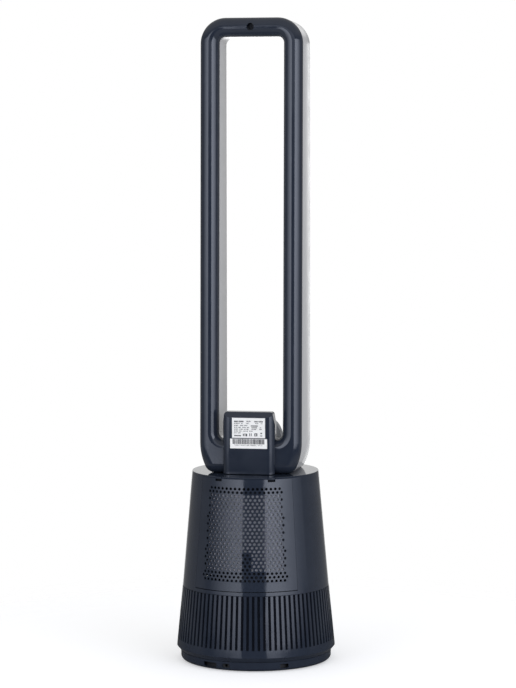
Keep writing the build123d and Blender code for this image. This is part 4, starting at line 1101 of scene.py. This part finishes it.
# Soft boxes: azimuth of the edge nearest the camera and of the far edge, both from the camera's
# direction and positive towards -X, distance, lowest and highest edge, radiance at the near and
# the far edge, and the share of the width before it starts to fade.
SOFT_BOXES = (
    ("soft_box_left", -21.4, -88.0, 3.0, 0.0, 1.5, 2.1, 0.05, 0.05),
    ("soft_box_right", 15.7, 88.0, 3.0, 0.0, 1.5, 2.8, 0.3, 0.2),
    ("soft_box_middle", -21.4, 15.7, 3.0, 1.0, 2.0, 0.5, 0.5, 0.0),
)
# Factor on the radiance at the foot, and from a share of the height on.
BOX_FOOT = 0.85
BOX_HEAD = 1.3
BOX_RISE = 0.6
BOX_TINT = (0.93, 0.99, 1.15, 1.0)
# The room in a glossy surface: the radiance of each part, and between which values it grows
# from none to full. A turn is 1 towards the camera and -1 beyond the fan, a rise 1 upwards.
ROOM_DARK = 0.03
ROOM_SIDE = 0.22
SIDE_TURN = (0.25, -0.05)
ROOM_GREY = 0.38
GREY_TURN = (-0.8, -0.97)
ROOM_TOP = 0.5
TOP_RISE = (0.1, 0.6)
ROOM_FLOOR = 0.32
UNDER_RISE = (-0.15, -0.4)
BACKDROP_TURN = (-0.93, -0.98)
BACKDROP_RISE = (0.05, 0.12)
# The low part of the backdrop outshines the rest, between a foot and a top.
BACKDROP_GLARE = 1.8
GLARE_TURN = (-0.94, -0.998)
GLARE_TOP = (0.06, 0.03)
GLARE_FOOT = (-0.3, -0.15)
# The same for the light that the room sheds: level, up and down, and from beyond the fan.
FILL_LEVEL = 0.34
FILL_TOP = 0.72
FILL_RISE = (0.2, 0.9)
FILL_BACKDROP = 0.9
FILL_TURN = (-0.2, -0.9)


def towards_camera(studio):
    """Level direction from the fan to the camera."""
    return Vector((-math.sin(studio.turn), math.cos(studio.turn), 0))


def place_soft_box(scene, studio, name, near, far, distance, low, high, bright, dim, even):
    """A tall soft box, brightest at the edge by the camera and at its upper half."""
    edges = []
    for azimuth in (near, far):
        turned = Matrix.Rotation(math.radians(azimuth), 3, "Z") @ towards_camera(studio)
        edges.append(turned * distance)
    middle = (edges[0] + edges[1]) / 2 + Vector((0, 0, (low + high) / 2))
    width = (edges[1] - edges[0]).length
    lamp = bpy.data.lights.new(name, "AREA")
    lamp.shape = "RECTANGLE"
    lamp.size = width
    lamp.size_y = high - low
    lamp.energy = bright * math.pi * width * (high - low)
    lamp.use_nodes = True
    tree = lamp.node_tree
    tree.nodes.clear()
    place = add_node(tree, "ShaderNodeNewGeometry").outputs["Parametric"]
    split = add_node(tree, "ShaderNodeSeparateXYZ", {0: place})
    along = split.outputs["X"]
    if near < 0:
        along = blend_values(tree, "SUBTRACT", 1.0, along)
    across = ramp(tree, along, even, 1.0, 1.0, dim / bright)
    upward = ramp(tree, split.outputs["Y"], 0.0, BOX_RISE, BOX_FOOT, BOX_HEAD)
    strength = blend_values(tree, "MULTIPLY", across, upward)
    light = add_node(tree, "ShaderNodeEmission", {"Color": BOX_TINT, "Strength": strength})
    add_node(tree, "ShaderNodeOutputLight", {0: light.outputs[0]})
    holder = bpy.data.objects.new(name, lamp)
    holder.matrix_world = look_along(middle, Vector((-middle.x, -middle.y, 0)), 0, 0)
    holder.visible_camera = False
    scene.collection.objects.link(holder)


def light_world(tree, behind):
    """White to the camera. To a glossy surface it is a dark room by the camera, a grey one
    beyond the fan, pale overhead and underfoot, and the white backdrop straight beyond it."""
    ray = add_node(tree, "ShaderNodeTexCoord").outputs["Generated"]
    rise = part_of(tree, ray, "Z")
    facing = add_node(tree, "ShaderNodeVectorMath", {0: ray, 1: behind}, operation="DOT_PRODUCT")
    facing = facing.outputs["Value"]
    beyond = ramp(tree, facing, *SIDE_TURN, ROOM_DARK, ROOM_SIDE)
    far_side = ramp(tree, facing, *GREY_TURN, 0.0, ROOM_GREY)
    overhead = ramp(tree, rise, *TOP_RISE, 0.0, ROOM_TOP)
    underfoot = ramp(tree, rise, *UNDER_RISE, 0.0, ROOM_FLOOR)
    backdrop = blend_values(
        tree, "MULTIPLY", ramp(tree, facing, *BACKDROP_TURN), ramp(tree, rise, *BACKDROP_RISE)
    )
    glare = blend_values(
        tree,
        "MULTIPLY",
        ramp(tree, facing, *GLARE_TURN, 0.0, BACKDROP_GLARE),
        ramp(tree, rise, *GLARE_TOP),
        ramp(tree, rise, *GLARE_FOOT),
    )
    room = blend_values(tree, "MAXIMUM", beyond, far_side, overhead, underfoot, backdrop, glare)
    soft = blend_values(
        tree,
        "MAXIMUM",
        ramp(tree, size_of(tree, rise), *FILL_RISE, FILL_LEVEL, FILL_TOP),
        ramp(tree, facing, *FILL_TURN, 0.0, FILL_BACKDROP),
    )
    shown = any_ray(tree, "Camera", "Transmission")
    gloss = blend_values(tree, "MULTIPLY", any_ray(tree, "Glossy"), room)
    seen = any_ray(tree, "Camera", "Glossy", "Transmission")
    light = blend_values(tree, "MULTIPLY", soft, blend_values(tree, "SUBTRACT", 1.0, seen))
    strength = blend_values(tree, "ADD", shown, gloss, light)
    background = add_node(
        tree, "ShaderNodeBackground", {"Color": (1, 1, 1, 1), "Strength": strength}
    )
    add_node(tree, "ShaderNodeOutputWorld", {"Surface": background.outputs[0]})


class FAN_OT_studio(bpy.types.Operator):
    """Sets up the floor, the lamps, the world and the camera"""

    bl_idname = "fan.studio"
    bl_label = "Studio"

    def execute(self, context):
        studio = context.scene.fan_studio
        scene = context.scene
        scene.view_settings.view_transform = "Standard"
        behind = towards_camera(studio)
        place = behind * studio.distance + Vector((0, 0, studio.height))
        forward = -behind * math.cos(CAMERA_PITCH) - Vector((0, 0, math.sin(CAMERA_PITCH)))
        camera = bpy.data.cameras.new("camera")
        camera.sensor_width = SENSOR_MM
        camera.lens = SENSOR_MM * studio.focal_px / IMAGE_LONG_SIDE_PX
        rig = bpy.data.objects.new("camera", camera)
        rig.matrix_world = look_along(place, forward, CAMERA_ROLL, CAMERA_YAW)
        scene.collection.objects.link(rig)
        scene.camera = rig
        for box in SOFT_BOXES:
            place_soft_box(scene, studio, *box)
        bpy.ops.mesh.primitive_circle_add(
            vertices=96, radius=FLOOR_RADIUS, fill_type="NGON", location=(0, 0, 0)
        )
        floor = context.object
        floor.name = "floor"
        floor.data.materials.append(floor_finish())
        world = bpy.data.worlds.new("world")
        scene.world = world
        world.use_nodes = True
        world.node_tree.nodes.clear()
        light_world(world.node_tree, behind)
        return {"FINISHED"}


def floor_finish():
    """Matt white studio floor that runs out into the white background. In glossy surfaces it shows
    a painted shade.
    """
    material, tree, shader = new_finish("floor_white", roughness=0.9, specular_ior_level=0.0)
    glossy = any_ray(tree, "Glossy")
    # Painted shade: to glossy surfaces the floor shows dark grey rather than white, standing for
    # the shade on it close round the fan's foot.
    tone = mix_colours(tree, glossy, linear("#e6e6e6"), linear("#4a4a4a"))
    tree.links.new(tone, shader.inputs["Base Color"])
    shader.inputs["Emission Color"].default_value = (1, 1, 1, 1)
    away = add_node(tree, "ShaderNodeVectorMath", {0: object_coords(tree)}, operation="LENGTH")
    edge = ramp(tree, away.outputs["Value"], FLOOR_FADE, FLOOR_RADIUS, 1.0, 0.0)
    tree.links.new(edge, shader.inputs["Alpha"])
    direct = any_ray(tree, "Camera", "Transmission")
    mirrored = blend_values(tree, "MULTIPLY", glossy, MIRRORED_GLOW)
    glow = blend_values(tree, "MAXIMUM", direct, mirrored)
    glow = blend_values(tree, "MULTIPLY", glow, FLOOR_GLOW)
    tree.links.new(glow, shader.inputs["Emission Strength"])
    return material


class FAN_PT_panel(bpy.types.Panel):
    """Lists the fan's steps in the sidebar"""

    bl_idname = "FAN_PT_panel"
    bl_label = "Bladeless fan"
    bl_space_type = "VIEW_3D"
    bl_region_type = "UI"
    bl_category = "Fan"

    def draw(self, context):
        for step in STEPS:
            self.layout.operator(step.bl_idname)


GROUPS = {
    "fan_finish": FanFinish,
    "fan_labels": FanLabels,
    "fan_latches": FanLatches,
    "fan_controls": FanControls,
    "fan_studio": FanStudio,
}
STEPS = (
    FAN_OT_finishes,
    FAN_OT_rating_print,
    FAN_OT_code_print,
    FAN_OT_latch_ribs,
    FAN_OT_button_marks,
    FAN_OT_display_figures,
    FAN_OT_studio,
)


def register():
    for group in GROUPS.values():
        bpy.utils.register_class(group)
    for name, group in GROUPS.items():
        setattr(bpy.types.Scene, name, PointerProperty(type=group))
    for step in STEPS:
        bpy.utils.register_class(step)
    bpy.utils.register_class(FAN_PT_panel)


def unregister():
    bpy.utils.unregister_class(FAN_PT_panel)
    for step in reversed(STEPS):
        bpy.utils.unregister_class(step)
    for name in GROUPS:
        delattr(bpy.types.Scene, name)
    for group in GROUPS.values():
        bpy.utils.unregister_class(group)


def main():
    register()
    bpy.ops.object.select_all(action="DESELECT")
    for step in STEPS:
        group, name = step.bl_idname.split(".")
        getattr(getattr(bpy.ops, group), name)()


if __name__ == "__main__":
    main()
